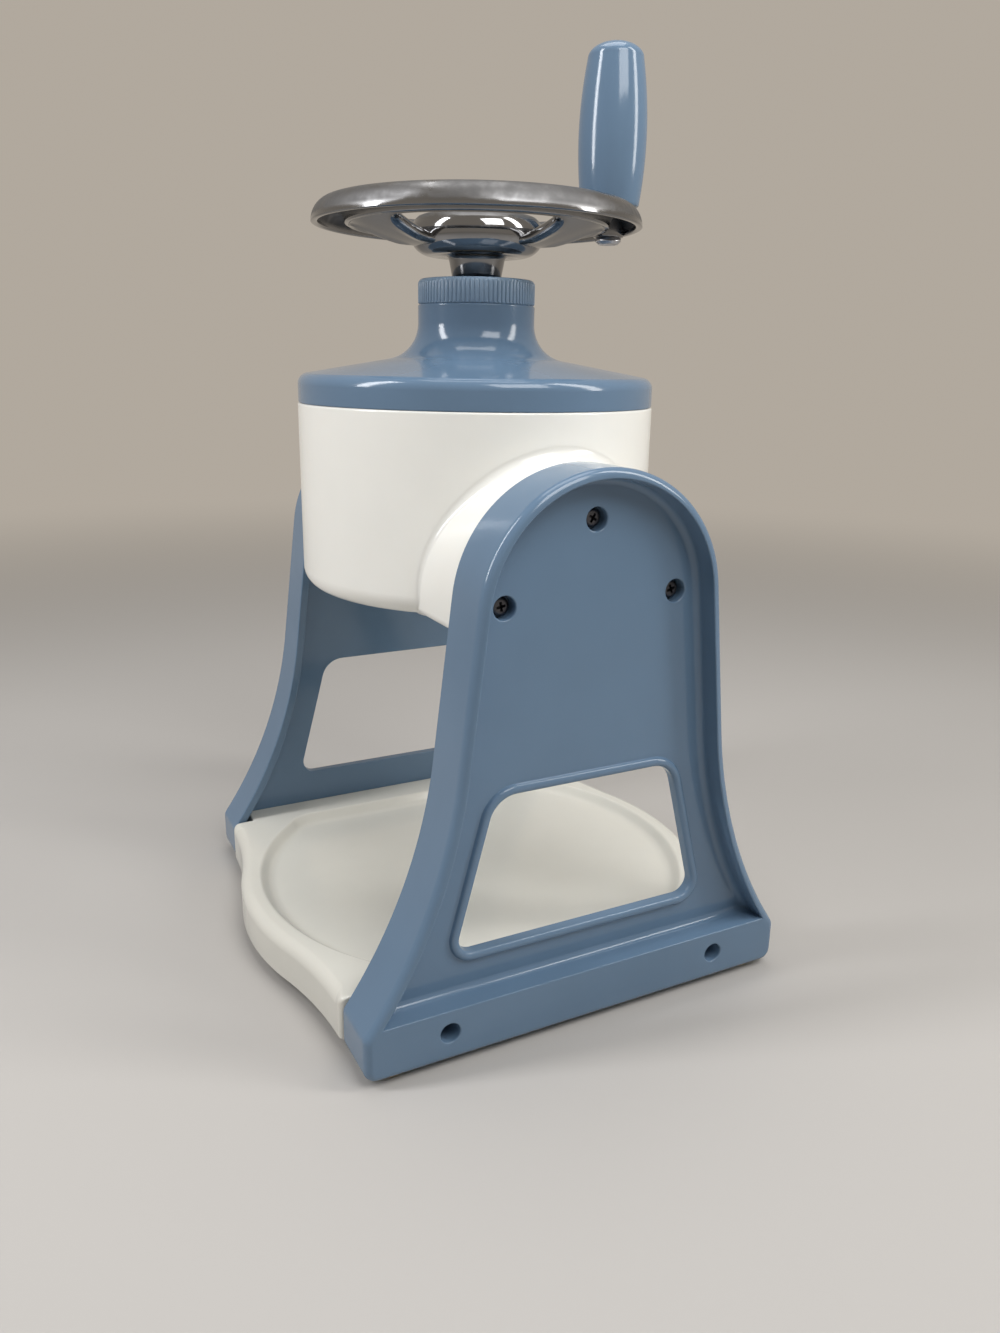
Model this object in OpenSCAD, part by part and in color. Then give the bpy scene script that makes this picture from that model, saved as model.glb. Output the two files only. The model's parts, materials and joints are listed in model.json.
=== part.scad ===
// Hand-cranked ice shaver: two stands, tray, hopper with blade, lid with crank wheel and sprung ice press
// Millimetres, +Z up, floor at Z = 0, stands along X, open front towards -Y

/* [Overall] */
// Width across the outer faces of the two stands
span = 176; // [160:1:210]
// Height of the foot pads
pad_h = 2; // [1:0.5:4]
// Height of the tray top above the table
tray_top = 19.5; // [18:0.5:22]
// Clear height between tray top and hopper underside
bowl_h = 110.5; // [100:0.5:125]

/* [Hopper] */
// Outer diameter of the hopper
hopper_d = 120.4; // [118:0.2:124]
// Height of the hopper from underside to lid seat
hopper_h = 61.6; // [56:0.2:72]
// Wall of the hopper and of its side bosses
hopper_wall = 3; // [2.5:0.1:3.6]
// Thickness of the hopper floor
hopper_floor = 3.5; // [3:0.1:4.5]
// Rounding of the bottom edge of the hopper
hopper_edge_r = 6.5; // [4:0.5:7]

/* [Stands] */
// Depth of the rim of a stand
rim_depth = 19.5; // [17.5:0.5:22]
// Wall of the rim of a stand
rim_wall = 3; // [2.8:0.1:3.6]
// Rounding of the outer front edge of the rim
rim_r = 2.6; // [1:0.1:2.7]
// Depth of the outer recess down to the panel
panel_recess = 8.1; // [7:0.1:9.2]
// Thickness of the panel
panel_wall = 2.8; // [2.2:0.1:3.4]
// Outer radius of the arch at the top of a stand
arch_r = 41; // [39.6:0.2:43]
// Height of the arch centre above the hopper underside
arch_rise = 7.3; // [6.5:0.1:8.5]
// Lean of the straight sides of a stand in degrees
side_taper = 7; // [6:0.5:8]
// Radius of the flared flank of a stand
flank_r = 165; // [145:1:185]
// Length of the foot of a stand
foot_len = 153.6; // [148:0.2:160]
// Height of the upright end of the foot
foot_end_h = 14.7; // [13:0.1:16]
// Height of the flush foot bar
foot_bar_h = 17.7; // [16:0.1:19]
// Rounding of the lower corners of the foot
foot_r = 4; // [3.8:0.1:6]
// Height of the window sill above the table
window_low = 32.8; // [30:0.2:36]
// Height of the window top above the table
window_high = 82.5; // [76:0.5:88]
// Width of the window at the sill
window_w_low = 90; // [80:1:92]
// Width of the window at the top
window_w_high = 63.2; // [56:0.4:66]
// Rounding of the lower corners of the window
window_low_r = 5; // [4:0.5:7]
// Rounding of the upper corners of the window
window_high_r = 9; // [6:0.5:10]
// Width of the raised bead round the window
bead_w = 3; // [2:0.2:3.4]
// Height of the raised bead round the window
bead_h = 1.5; // [0.8:0.1:2]
// Height of the top hopper screw above the arch centre
screw_top_rise = 25.7; // [24:0.1:27]
// Distance of the two lower hopper screws from the middle
screw_side_y = 29.5; // [27:0.1:30.5]
// Height of the two lower hopper screws above the arch centre
screw_side_rise = 2.2; // [0:0.2:5]
// Distance of the foot screws from the middle
foot_screw_y = 49.6; // [44:0.2:54]

/* [Tray] */
// Depth of the tray across its bowed front and back
tray_d = 176; // [172:1:184]
// Radius of the bowed front and back of the tray
tray_bow_r = 95; // [85:1:110]
// Straight depth of the tray beside the stands
tray_w = 155; // [146:1:158]
// Diameter of the flat bottom of the dish
dish_d = 155; // [144:1:158]
// Depth of the dish
dish_depth = 3.5; // [2:0.1:4]
// Wall of the tray
tray_wall = 3; // [2.4:0.1:3.4]
// Gap between the skirt of the tray and the table
skirt_gap = 4.5; // [3:0.1:4.8]

/* [Lid] */
// Outer diameter of the lid
lid_d = 120; // [117:0.5:122]
// Height of the upright band of the lid
lid_band_h = 5.9; // [4.5:0.1:7]
// Rounding of the lid edge
lid_edge_r = 3.7; // [2:0.1:4.4]
// Rise of the lid cone in degrees
lid_slope = 10; // [8:0.5:12]
// Height of the neck shoulder above the lid seat
neck_rise = 31.8; // [30:0.2:36]
// Outer diameter of the neck
neck_d = 39.2; // [38.2:0.2:41]
// Fillet between the lid cone and the neck
neck_fillet = 11.8; // [8:0.2:13]
// Height of the ribbed neck cap
cap_h = 8; // [7:0.2:10]
// Number of ribs round the neck cap
cap_ribs = 84; // [60:2:96]

/* [Crank] */
// Outer diameter of the wheel
wheel_d = 108; // [102:1:112]
// Height of the wheel lip above the end of the wheel boss
wheel_lift = 17.2; // [16:0.2:20]
// Width of the wheel rim
wheel_rim_w = 13; // [12:0.2:15]
// Height of the wheel rim
wheel_rim_h = 7.3; // [6.5:0.1:8]
// Angle of a spoke in degrees
spoke_sweep = 40; // [34:1:60]
// Angle of the first spoke in degrees
spoke_start = 34; // [0:1:119]
// Angle of the knob in degrees
knob_angle = 82; // [0:1:119]
// Largest diameter of the knob
knob_d = 22.9; // [21:0.1:25]
// Height of the knob
knob_h = 50; // [44:1:58]
// Diameter of the spindle
spindle_d = 10; // [9:0.2:10.4]

/* [Ice press] */
// Diameter of the ice gripper
gripper_d = 96; // [84:1:104]
// Length of the gripper spikes
spike_h = 6; // [4:0.5:7]
// Clearance between spikes and hopper floor at the lowest position
spike_gap = 3; // [2:0.2:5]
// Mean radius of the press spring
spring_r = 11; // [10:0.1:11.6]
// Wire diameter of the press spring
spring_wire = 1.8; // [1.4:0.1:2]
// Number of curls of the press spring
spring_curls = 8; // [6:1:9]
// Lean of the blade in degrees
blade_lean = 20; // [16:1:24]

/* [Hidden] */
$fn = 72;

blue = [0.33, 0.44, 0.58];
white = [0.92, 0.91, 0.88];
chrome = [0.75, 0.75, 0.77];
steel = [0.62, 0.63, 0.65];
dark = [0.16, 0.16, 0.18];
amber = [0.72, 0.64, 0.45];
nylon = [0.86, 0.85, 0.80];

// Levels along Z
hopper_z = tray_top + bowl_h;
lid_z = hopper_z + hopper_h;
floor_z = hopper_z + hopper_floor;
neck_z = lid_z + neck_rise;
cap_z = neck_z + cap_h;
cap_plate = 1.3;
bush_flange = 1.7;
bush_seat_z = cap_z - cap_plate - bush_flange;
bush_len = 12.5;
bush_low_z = bush_seat_z - bush_len;
boss_z = bush_seat_z + bush_flange + 0.2;
wheel_z = boss_z + wheel_lift;
hub_top_z = wheel_z + 3.5;
tip_z = floor_z + spike_gap;
plate_z = tip_z + spike_h;
plate_t = 2;
hub_h = 7.5;
gripper_hub_z = plate_z + hub_h;
seat_z = gripper_hub_z + 0.2;
washer_t = 1.5;
spring_low_z = seat_z + washer_t;
spring_washer_t = 1.2;
spring_high_z = bush_low_z - spring_washer_t;

// Levels along X
face_x = span / 2;
edge_x = face_x - rim_depth;
panel_x = face_x - panel_recess;
back_x = panel_x - panel_wall;
post_x = back_x - 4;
screw_seat_x = post_x + 2;
foot_seat_x = back_x + 2;

// Radii of the hopper
hopper_r = hopper_d / 2;
chamber_r = hopper_r - hopper_wall;
boss_r = arch_r - 0.6;

// Outline of a stand in its own plane, first value along Y and second along Z
arch_z = hopper_z + arch_rise;
foot_y = foot_len / 2;
side_n = [cos(side_taper), sin(side_taper)];
side_d = [sin(side_taper), -cos(side_taper)];
side_top = [0, arch_z] + arch_r * side_n;
foot_tip = [foot_y, pad_h + foot_end_h];
tip_h = (foot_tip - side_top) * side_n;
tip_s = (foot_tip - side_top) * side_d;
flank_s = sqrt(2 * tip_h * flank_r - tip_h * tip_h);
side_len = tip_s - flank_s;
flank_c = side_top + side_len * side_d + flank_r * side_n;
flank_end = 360 - acos((foot_y - flank_c[0]) / flank_r);
flank_sweep = flank_end - 180 - side_taper;

// Points of an arc from angle a to angle b
function arc(c, r, a, b, n) = [for (i = [0:n]) c + r * [cos(a + (b - a) * i / n), sin(a + (b - a) * i / n)]];
function unit(v) = v / norm(v);
function heading(v) = atan2(v[1], v[0]);
function turn(a) = a > 180 ? a - 360 : (a < -180 ? a + 360 : a);

// Rounds corner q of a polygon between its neighbours p and s
function round_corner(p, q, s, r, n) =
    let (u = unit(p - q), v = unit(s - q), half = acos(u * v) / 2)
    let (c = q + unit(u + v) * r / sin(half), a = heading(q + u * r / tan(half) - c))
    arc(c, r, a, a + turn(heading(q + v * r / tan(half) - c) - a), n);
function rounded(pts, radii, n) =
    let (m = len(pts))
    [for (i = [0:m - 1]) each round_corner(pts[(i + m - 1) % m], pts[i], pts[(i + 1) % m], radii[i], n)];

// Right half of the stand outline moved inwards by i, from the foot up to the arch
function bell_half(i) =
    let (low = 360 - acos((foot_y - i - flank_c[0]) / (flank_r + i)))
    concat([[foot_y - i, pad_h + i]], arc(flank_c, flank_r + i, low, 180 + side_taper, 12),
        arc([0, arch_z], arch_r - i, side_taper, 90, 14));
function mirrored(pts) = [for (k = [len(pts) - 1:-1:0]) [-pts[k][0], pts[k][1]]];
function bell(i) = concat(bell_half(i), mirrored(bell_half(i)));

// Foot bar between the rim's lower ends, moved inwards by i
function bar_half(i) =
    let (low = 360 - acos((foot_y - i - flank_c[0]) / (flank_r + i)))
    let (high = 180 + asin((flank_c[1] - pad_h - foot_bar_h) / (flank_r + i)))
    concat([[foot_y - i, pad_h + i]], arc(flank_c, flank_r + i, low, high, 3));
function foot_bar(i) = concat(bar_half(i), mirrored(bar_half(i)));

// Window corners grown outwards by g
window_lean = atan((window_w_low - window_w_high) / 2 / (window_high - window_low));
function window_half(z) = (window_w_low - (window_w_low - window_w_high) * (z - window_low)
    / (window_high - window_low)) / 2;
function window_pts(g) =
    let (low = window_low - g, high = window_high + g, out = g / cos(window_lean))
    [[-window_half(low) - out, low], [window_half(low) + out, low],
     [window_half(high) + out, high], [-window_half(high) - out, high]];
window_radii = [window_low_r, window_low_r, window_high_r, window_high_r];
function window_outline(g) = rounded(window_pts(g), [for (r = window_radii) r + g], 6);

// Screw places on a stand
hopper_screw_spots = [[0, arch_z + screw_top_rise], [screw_side_y, arch_z + screw_side_rise],
    [-screw_side_y, arch_z + screw_side_rise]];
foot_screw_rise = 9.9;
foot_screw_spots = [for (s = [-1, 1]) [s * foot_screw_y, pad_h + foot_screw_rise]];
screw_d = 3.5;
screw_hole_d = screw_d + 0.5;
pilot_d = screw_d + 0.1;
screw_head_d = 5.8;
screw_head_h = 2.4;
screw_head_r = 1.2;
screw_cross = 0.8;
screw_len = 11;
hopper_pocket_d = screw_head_d + 1.2;
foot_pocket_d = screw_head_d + 0.6;
post_d = 11;
pad_d = 13;
pad_inset = 9.8;

// Straight runs of a swept edge lap into its curves and lie a hair inside them
lap = 1;
seam = 0.02;

// Cross section of the rim moved inwards by i, first value inwards from the outline and second along X
function rim_pts(i) = concat([[i, edge_x + i], [rim_wall - i, edge_x + i], [rim_wall - i, face_x - i]],
    arc([rim_r + i, face_x - rim_r - i], rim_r, 90, 180, 5));

module rim_section(base, way, i = 0) {
    polygon([for (q = rim_pts(i)) [base + way * q[0], q[1]]]);
}

// Lays a shape drawn in the stand plane upright across X
module upright() {
    rotate([90, 0, 90]) children();
}

module both_sides() {
    children();
    mirror([1, 0, 0]) children();
}

// Straight side, flared flank, foot end and lower corner of the rim
module rim_side() {
    translate([side_top[0] - lap * side_d[0], side_top[1] - lap * side_d[1], 0]) rotate([90, 0, side_taper])
        linear_extrude(side_len + 2 * lap) rim_section(0, -1, seam);
    translate([flank_c[0], flank_c[1], 0]) rotate([0, 0, 180 + side_taper])
        rotate_extrude(angle = flank_sweep) rim_section(flank_r, 1);
    translate([foot_tip[0], foot_tip[1], 0]) rotate([90, 0, 0])
        linear_extrude(foot_end_h - foot_r + lap / 5) rim_section(0, -1, seam);
    translate([foot_y - foot_r, pad_h + foot_r, 0]) rotate([0, 0, -90])
        rotate_extrude(angle = 90) rim_section(foot_r, -1);
}

module rim() {
    translate([0, arch_z, 0]) rotate([0, 0, side_taper])
        rotate_extrude(angle = 180 - 2 * side_taper) rim_section(arch_r, -1);
    both_sides() rim_side();
    translate([foot_y - foot_r, pad_h, 0]) rotate([90, 0, -90])
        linear_extrude(2 * (foot_y - foot_r)) rim_section(0, -1);
}

module stand_body() {
    rim();
    translate([0, 0, back_x]) linear_extrude(panel_wall) polygon(bell(rim_wall / 2));
    translate([0, 0, panel_x - 0.5]) linear_extrude(panel_recess + 0.5 - seam)
        polygon(foot_bar(rim_wall - 0.2));
    translate([0, 0, panel_x - 0.5]) linear_extrude(0.5 + bead_h * 0.6) polygon(window_outline(bead_w));
    translate([0, 0, panel_x - 0.5]) linear_extrude(0.5 + bead_h) polygon(window_outline(bead_w * 0.72));
    for (q = hopper_screw_spots)
        translate([q[0], q[1], post_x]) cylinder(d = post_d, h = back_x - post_x + 0.5);
}

module stand() {
    upright() difference() {
        stand_body();
        translate([0, 0, back_x - 1]) linear_extrude(panel_wall + bead_h + 2) polygon(window_outline(0));
        for (q = hopper_screw_spots) {
            translate([q[0], q[1], screw_seat_x]) cylinder(d = hopper_pocket_d, h = rim_depth);
            translate([q[0], q[1], post_x - 1]) cylinder(d = screw_hole_d, h = rim_depth);
        }
        for (q = foot_screw_spots) {
            translate([q[0], q[1], foot_seat_x]) cylinder(d = foot_pocket_d, h = rim_depth);
            translate([q[0], q[1], back_x - 1]) cylinder(d = screw_hole_d, h = rim_depth);
        }
    }
}

module right_stand() {
    color(blue) stand();
}

module left_stand() {
    color(blue) mirror([1, 0, 0]) stand();
}

// Pan-head screw along +Z, head seat at Z = 0, shank downwards
module screw(length, head_d) {
    difference() {
        union() {
            translate([0, 0, -length]) cylinder(d = screw_d, h = length + 0.5);
            rotate_extrude() polygon(concat([[0, 0], [head_d / 2, 0]],
                arc([head_d / 2 - screw_head_r, screw_head_h - screw_head_r], screw_head_r, 0, 90, 5),
                [[0, screw_head_h]]));
        }
        for (a = [0, 90]) rotate([0, 0, a])
            translate([-0.31 * head_d, -screw_cross / 2, 0.46 * screw_head_h])
                cube([0.62 * head_d, screw_cross, screw_head_h]);
    }
}

module hopper_screws() {
    color(dark) both_sides() upright() for (q = hopper_screw_spots)
        translate([q[0], q[1], screw_seat_x]) rotate([0, 0, 20 + q[0]]) screw(screw_len, screw_head_d);
}

module base_screws() {
    color(dark) both_sides() upright() for (q = foot_screw_spots)
        translate([q[0], q[1], foot_seat_x]) rotate([0, 0, 30 + q[0]]) screw(screw_len, screw_head_d);
}

module foot_pads() {
    color(amber) both_sides() for (s = [-1, 1])
        translate([face_x - rim_depth / 2, s * (foot_y - pad_inset), 0]) cylinder(d = pad_d, h = pad_h);
}

// Tray with a clipped round dish, hollow below, with tongues that slide into the stand recesses
tray_end_x = edge_x - 1;
tongue_w = 138;
tray_round = 4;
dish_x = edge_x - 8;
dish_bank = 6;
tray_floor_z = tray_top - dish_depth;

// Bowed front edge: the bow runs into two hollow curves that end square to the stands
bow_y = tray_d / 2 - tray_bow_r;
bow_drop = (tray_d - tray_w) / 2;
bow_reach = (edge_x * edge_x + bow_drop * bow_drop) / (2 * bow_drop);
tray_hollow_r = bow_reach - tray_bow_r;
hollow_y = tray_w / 2 + tray_hollow_r;
bow_sweep = asin(edge_x / bow_reach);

// Outline of the tray moved inwards by i, its ends at X = x
function inner(v) = [for (k = [1:len(v) - 2]) v[k]];
function hollow_half(i, x) = arc([edge_x, hollow_y], tray_hollow_r + i,
    270 - asin((edge_x - x) / (tray_hollow_r + i)), 270 - bow_sweep, 8);
function front_half(i, x) = [for (k = [0:7]) hollow_half(i, x)[k]];
function tray_half(i, x) = concat(front_half(i, x),
    inner(arc([0, bow_y], tray_bow_r - i, 90 - bow_sweep, 90 + bow_sweep, 16)),
    mirrored(front_half(i, x)));
function tray_outline(i, x) = concat(tray_half(i, x), [for (q = tray_half(i, x)) -q]);

// Cross section of the tray's edge moved inwards by i, first value inwards and second along Z
function tray_section(i) = concat(
    [[i, skirt_gap + i], [tray_round + 1 - 10 * i, skirt_gap + i], [tray_round + 1 - 10 * i, tray_top - i]],
    arc([tray_round + i, tray_top - tray_round - i], tray_round, 90, 180, 6));

module tray_edge(base, way, i) {
    polygon([for (q = tray_section(i)) [base + way * q[0], q[1]]]);
}

module tray_front() {
    translate([0, bow_y, 0]) rotate([0, 0, 90 - bow_sweep])
        rotate_extrude(angle = 2 * bow_sweep) tray_edge(tray_bow_r, -1, 0);
    both_sides() translate([edge_x, hollow_y, 0]) rotate([0, 0, 270 - bow_sweep - lap / 4])
        rotate_extrude(angle = bow_sweep + lap / 4) tray_edge(tray_hollow_r, 1, seam);
}

module tray_body() {
    intersection() {
        union() {
            tray_front();
            mirror([0, 1, 0]) tray_front();
            translate([0, 0, skirt_gap + 2 * seam]) linear_extrude(tray_top - skirt_gap - 4 * seam)
                polygon(tray_outline(tray_round + 0.5, edge_x));
        }
        translate([-tray_end_x, -tray_d, 0]) cube([2 * tray_end_x, 2 * tray_d, 2 * tray_top]);
    }
    both_sides() translate([tray_end_x - 1, -tongue_w / 2, pad_h + rim_wall])
        cube([back_x - tray_end_x + 1, tongue_w, tray_top - 3 * seam - pad_h - rim_wall]);
}

module base_tray() {
    color(white) difference() {
        union() {
            difference() {
                tray_body();
                linear_extrude(tray_floor_z - tray_wall)
                    polygon(tray_outline(tray_wall, tray_end_x - tray_wall));
                both_sides() translate([tray_end_x - 10, -tongue_w / 2 + tray_wall, 0])
                    cube([back_x - tray_wall - tray_end_x + 10, tongue_w - 2 * tray_wall,
                        tray_floor_z - tray_wall]);
            }
            both_sides() upright() for (q = foot_screw_spots)
                translate([q[0], q[1], back_x - 12]) cylinder(d = 8, h = 12);
        }
        intersection() {
            translate([0, 0, tray_floor_z])
                cylinder(r1 = dish_d / 2, r2 = dish_d / 2 + dish_bank, h = dish_depth * 2);
            upright_wedge();
        }
        both_sides() upright() for (q = foot_screw_spots)
            translate([q[0], q[1], back_x - 10]) cylinder(d = pilot_d, h = 20);
    }
}

// Sloped straight sides of the dish beside the stands
module upright_wedge() {
    translate([0, tray_d, 0]) rotate([90, 0, 0]) linear_extrude(2 * tray_d)
        polygon([[-dish_x, tray_floor_z], [dish_x, tray_floor_z],
            [dish_x + dish_bank, tray_floor_z + 2 * dish_depth],
            [-dish_x - dish_bank, tray_floor_z + 2 * dish_depth]]);
}

// Blade place: cutting edge above the floor, blade falling towards +Y below the floor
blade_x = 4;
blade_len = 46;
blade_depth = 20;
blade_t = 1.2;
clamp_t = 1.5;
blade_screw_len = 6;
blade_screw_head_d = 5.4;
edge_y = 0.5;
edge_z = floor_z + 0.6;
slot_front_y = -6;
slot_back_y = edge_y + (edge_z - hopper_z + 0.4) / tan(blade_lean);
clamp_y = (slot_back_y - edge_y) / cos(blade_lean) + 0.6;
clamp_w = blade_depth - clamp_y + 0.5;
pad_y = edge_y + (blade_depth + 1) * cos(blade_lean);
blade_screw_spots = [blade_x + 9, blade_x + blade_len - 9];

module blade_frame() {
    translate([0, edge_y, edge_z]) rotate([-blade_lean, 0, 0]) children();
}

function blade_plane(y) = edge_z - (y - edge_y) * tan(blade_lean);

// Arched side boss that carries the hopper between the stands
module hopper_boss(r, low) {
    intersection() {
        upright() translate([0, arch_z, 20]) cylinder(r = r, h = edge_x - 20);
        translate([0, -arch_r - 5, low]) cube([span, 2 * arch_r + 10, 4 * arch_r]);
    }
}

module hopper_shell() {
    translate([0, 0, hopper_z]) rotate_extrude() polygon(concat([[0, 0]],
        arc([hopper_r - hopper_edge_r, hopper_edge_r], hopper_edge_r, -90, 0, 8),
        [[hopper_r, hopper_h], [0, hopper_h]]));
}

module hopper_outer() {
    difference() {
        union() {
            hopper_shell();
            both_sides() hopper_boss(boss_r, hopper_z);
        }
        both_sides() difference() {
            intersection() {
                hopper_boss(boss_r - hopper_wall, hopper_z + hopper_wall);
                translate([30, -span, 0]) cube(2 * span);
            }
            translate([0, 0, hopper_z - 1]) cylinder(r = hopper_r, h = hopper_h);
        }
        both_sides() upright() translate([0, arch_z, edge_x]) cylinder(r = boss_r - hopper_wall, h = 5);
    }
    both_sides() upright() for (q = hopper_screw_spots)
        translate([q[0], q[1], 40]) cylinder(d = post_d - 1, h = post_x - 40);
}

module hopper() {
    color(white) difference() {
        union() {
            difference() {
                hopper_outer();
                translate([0, 0, floor_z]) cylinder(r = chamber_r, h = hopper_h);
            }
            translate([blade_x - 2, 0, 0]) upright() linear_extrude(blade_len + 4)
                polygon([[slot_back_y, hopper_z + 1], [pad_y, hopper_z + 1],
                    [pad_y, blade_plane(pad_y)], [slot_back_y, blade_plane(slot_back_y)]]);
        }
        translate([blade_x - 1, slot_front_y, hopper_z - 10])
            cube([blade_len + 2, slot_back_y - slot_front_y, 10 + hopper_floor + 2]);
        blade_frame() for (x = blade_screw_spots)
            translate([x, clamp_y + clamp_w / 2, -6]) cylinder(d = pilot_d, h = 9.6);
        both_sides() upright() for (q = hopper_screw_spots)
            translate([q[0], q[1], post_x - 9.5]) cylinder(d = pilot_d, h = 20);
    }
}

module blade() {
    color(steel) blade_frame() difference() {
        translate([blade_x, 0, 0]) upright() linear_extrude(blade_len)
            polygon([[0, 0], [3, -blade_t], [blade_depth, -blade_t], [blade_depth, 0]]);
        for (x = blade_screw_spots)
            translate([x, clamp_y + clamp_w / 2, -2 * blade_t]) cylinder(d = screw_d + 0.2, h = 3 * blade_t);
    }
}

module blade_clamp() {
    color(steel) blade_frame() difference() {
        translate([blade_x + 1, clamp_y, -blade_t - clamp_t]) cube([blade_len - 2, clamp_w, clamp_t]);
        for (x = blade_screw_spots)
            translate([x, clamp_y + clamp_w / 2, -2 * (blade_t + clamp_t)])
                cylinder(d = screw_d + 0.2, h = 2 * (blade_t + clamp_t));
    }
}

module blade_screws() {
    color(dark) blade_frame() for (x = blade_screw_spots)
        translate([x, clamp_y + clamp_w / 2, -blade_t - clamp_t]) rotate([180, 0, x])
            screw(blade_screw_len, blade_screw_head_d);
}

// Lid profile: band, rounded edge, cone, fillet and neck with a threaded spigot
lid_r = lid_d / 2;
neck_r = neck_d / 2;
spigot_r = neck_r - 3.6;
bush_r = 12;
bush_flange_r = 15;
pocket_r = 15.5;
cap_hole_r = 10.8;
cap_edge_r = 1;
washer_r = 14.5;
cone_top = [lid_r - lid_edge_r, lid_z + lid_band_h] + lid_edge_r * [sin(lid_slope), cos(lid_slope)];
fillet_c = [neck_r + neck_fillet, cone_top[1] + (cone_top[0] - neck_r - neck_fillet) * tan(lid_slope)
    + neck_fillet / cos(lid_slope)];
lid_wall = 3;
ring_out = chamber_r - 0.3;
ring_in = ring_out - 3;
ring_h = 6;

function cone_inner(r) = cone_top[1] + (cone_top[0] - r) * tan(lid_slope) - lid_wall / cos(lid_slope);

module lid() {
    color(blue) rotate_extrude() polygon(concat([[ring_out, lid_z], [lid_r, lid_z]],
        arc([lid_r - lid_edge_r, lid_z + lid_band_h], lid_edge_r, 0, 90 - lid_slope, 8),
        arc(fillet_c, neck_fillet, 270 - lid_slope, 180, 8),
        [[neck_r, neck_z], [spigot_r, neck_z], [spigot_r, bush_seat_z], [bush_r + 0.03, bush_seat_z],
         [bush_r + 0.03, bush_low_z], [pocket_r, bush_low_z], [pocket_r, cone_inner(pocket_r)],
         [ring_in, cone_inner(ring_in)], [ring_in, lid_z - ring_h], [ring_out, lid_z - ring_h]]));
}

// Ribbed screw cap that holds the bush on the neck
module neck_cap() {
    rib = 180 / cap_ribs;
    color(blue) difference() {
        intersection() {
            translate([0, 0, neck_z]) linear_extrude(cap_h) polygon([for (i = [0:2 * cap_ribs - 1])
                (neck_r - (i % 2 == 0 ? 0.1 : 0.55)) * [cos(i * rib), sin(i * rib)]]);
            translate([0, 0, neck_z]) rotate_extrude() polygon(concat([[0, 0], [neck_r + 1, 0],
                [neck_r + 1, cap_h - 2 * cap_edge_r]],
                arc([neck_r - cap_edge_r, cap_h - cap_edge_r], cap_edge_r, 10, 90, 3), [[0, cap_h]]));
        }
        translate([0, 0, neck_z - 1]) rotate_extrude() polygon([[0, 0], [spigot_r + 0.03, 0],
            [spigot_r + 0.03, bush_seat_z - neck_z + 1], [bush_flange_r + 0.3, bush_seat_z - neck_z + 1],
            [bush_flange_r + 0.3, cap_h + 1 - cap_plate], [cap_hole_r, cap_h + 1 - cap_plate],
            [cap_hole_r, cap_h + 2], [0, cap_h + 2]]);
    }
}

module spindle_bush() {
    color(nylon) difference() {
        union() {
            translate([0, 0, bush_low_z]) cylinder(r = bush_r, h = bush_len + 0.5);
            translate([0, 0, bush_seat_z]) cylinder(r = bush_flange_r, h = bush_flange);
        }
        translate([0, 0, bush_low_z - 1]) cylinder(d = spindle_d + 0.12, h = 3 * bush_len);
    }
}

module flat_ring(r, hole_d, low, t) {
    translate([0, 0, low]) difference() {
        cylinder(r = r, h = t);
        translate([0, 0, -1]) cylinder(d = hole_d, h = t + 2);
    }
}

module spring_washer() {
    color(steel) flat_ring(washer_r, spindle_d + 2, spring_high_z, spring_washer_t);
}

module thrust_washer() {
    color(steel) flat_ring(washer_r, spindle_d + 0.12, seat_z, washer_t);
}

// Press spring: one round wire swept along a helix with closed end curls
spring_rings = 8 * spring_curls + 12;
spring_rise = spring_high_z - spring_low_z - spring_wire - 0.1;
spring_close = spring_wire + 0.5;

// Share of the rise at ring i, with three quarters of a curl nearly flat at each end
function spring_z(i) =
    let (e = 6, flat = spring_close * 0.75, m = spring_rings)
    i < e ? flat * i / e : (i > m - e ? spring_rise - flat * (m - i) / e
        : flat + (spring_rise - 2 * flat) * (i - e) / (m - 2 * e));
spring_mid = [for (i = [0:spring_rings]) [spring_r * cos(45 * i), spring_r * sin(45 * i),
    spring_low_z + spring_wire / 2 + 0.05 + spring_z(i)]];
spring_pts = [for (i = [0:spring_rings]) each [for (k = [0:5])
    spring_mid[i] + spring_wire / 2 * (cos(60 * k) * [cos(45 * i), sin(45 * i), 0]
        + sin(60 * k) * [0, 0, 1])]];
spring_side = [for (i = [0:spring_rings - 1]) each [for (k = [0:5])
    [6 * i + k, 6 * i + (k + 1) % 6, 6 * i + 6 + (k + 1) % 6, 6 * i + 6 + k]]];
spring_gap = min([for (i = [0:spring_rings - 8]) norm(spring_mid[i + 8] - spring_mid[i])]) - spring_wire;
echo(spring_gap = spring_gap);

module press_spring() {
    color(steel) polyhedron(spring_pts, concat([[5, 4, 3, 2, 1, 0]], spring_side,
        [[for (k = [0:5]) 6 * spring_rings + k]]), convexity = 10);
}

// Spindle: round bar with a reduced upper end for the wheel and its nut
spindle_r = spindle_d / 2;
spindle_top_r = spindle_r - 1;
shoulder_z = boss_z + 5.6;

module spindle() {
    color(steel) rotate_extrude() polygon([[0, plate_z + 3], [spindle_r - 0.5, plate_z + 3],
        [spindle_r, plate_z + 3.5], [spindle_r, shoulder_z], [spindle_top_r, shoulder_z],
        [spindle_top_r, hub_top_z + 6], [0, hub_top_z + 6]]);
}

// Wheel: hollow rim, three broad dished spokes and a bulged hub with a tapered boss
wheel_r = wheel_d / 2;
rim_mid = wheel_r - wheel_rim_w / 2;
rim_t = 2.2;
knob_seat = wheel_rim_h + 0.5;
knob_washer_r = 7;
knob_washer_t = 1;
knob_screw_d = 5;
knob_screw_head_d = 8.8;
knob_screw_head_h = 2;
knob_boss_r = 5.2;
knob_boss_low = -0.6;
knob_screw_len = 21;

function rim_arc(grow) = [for (i = [0:14]) [rim_mid + (wheel_rim_w / 2 - grow) * cos(180 * i / 14),
    (wheel_rim_h - grow) * sin(180 * i / 14)]];

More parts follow.
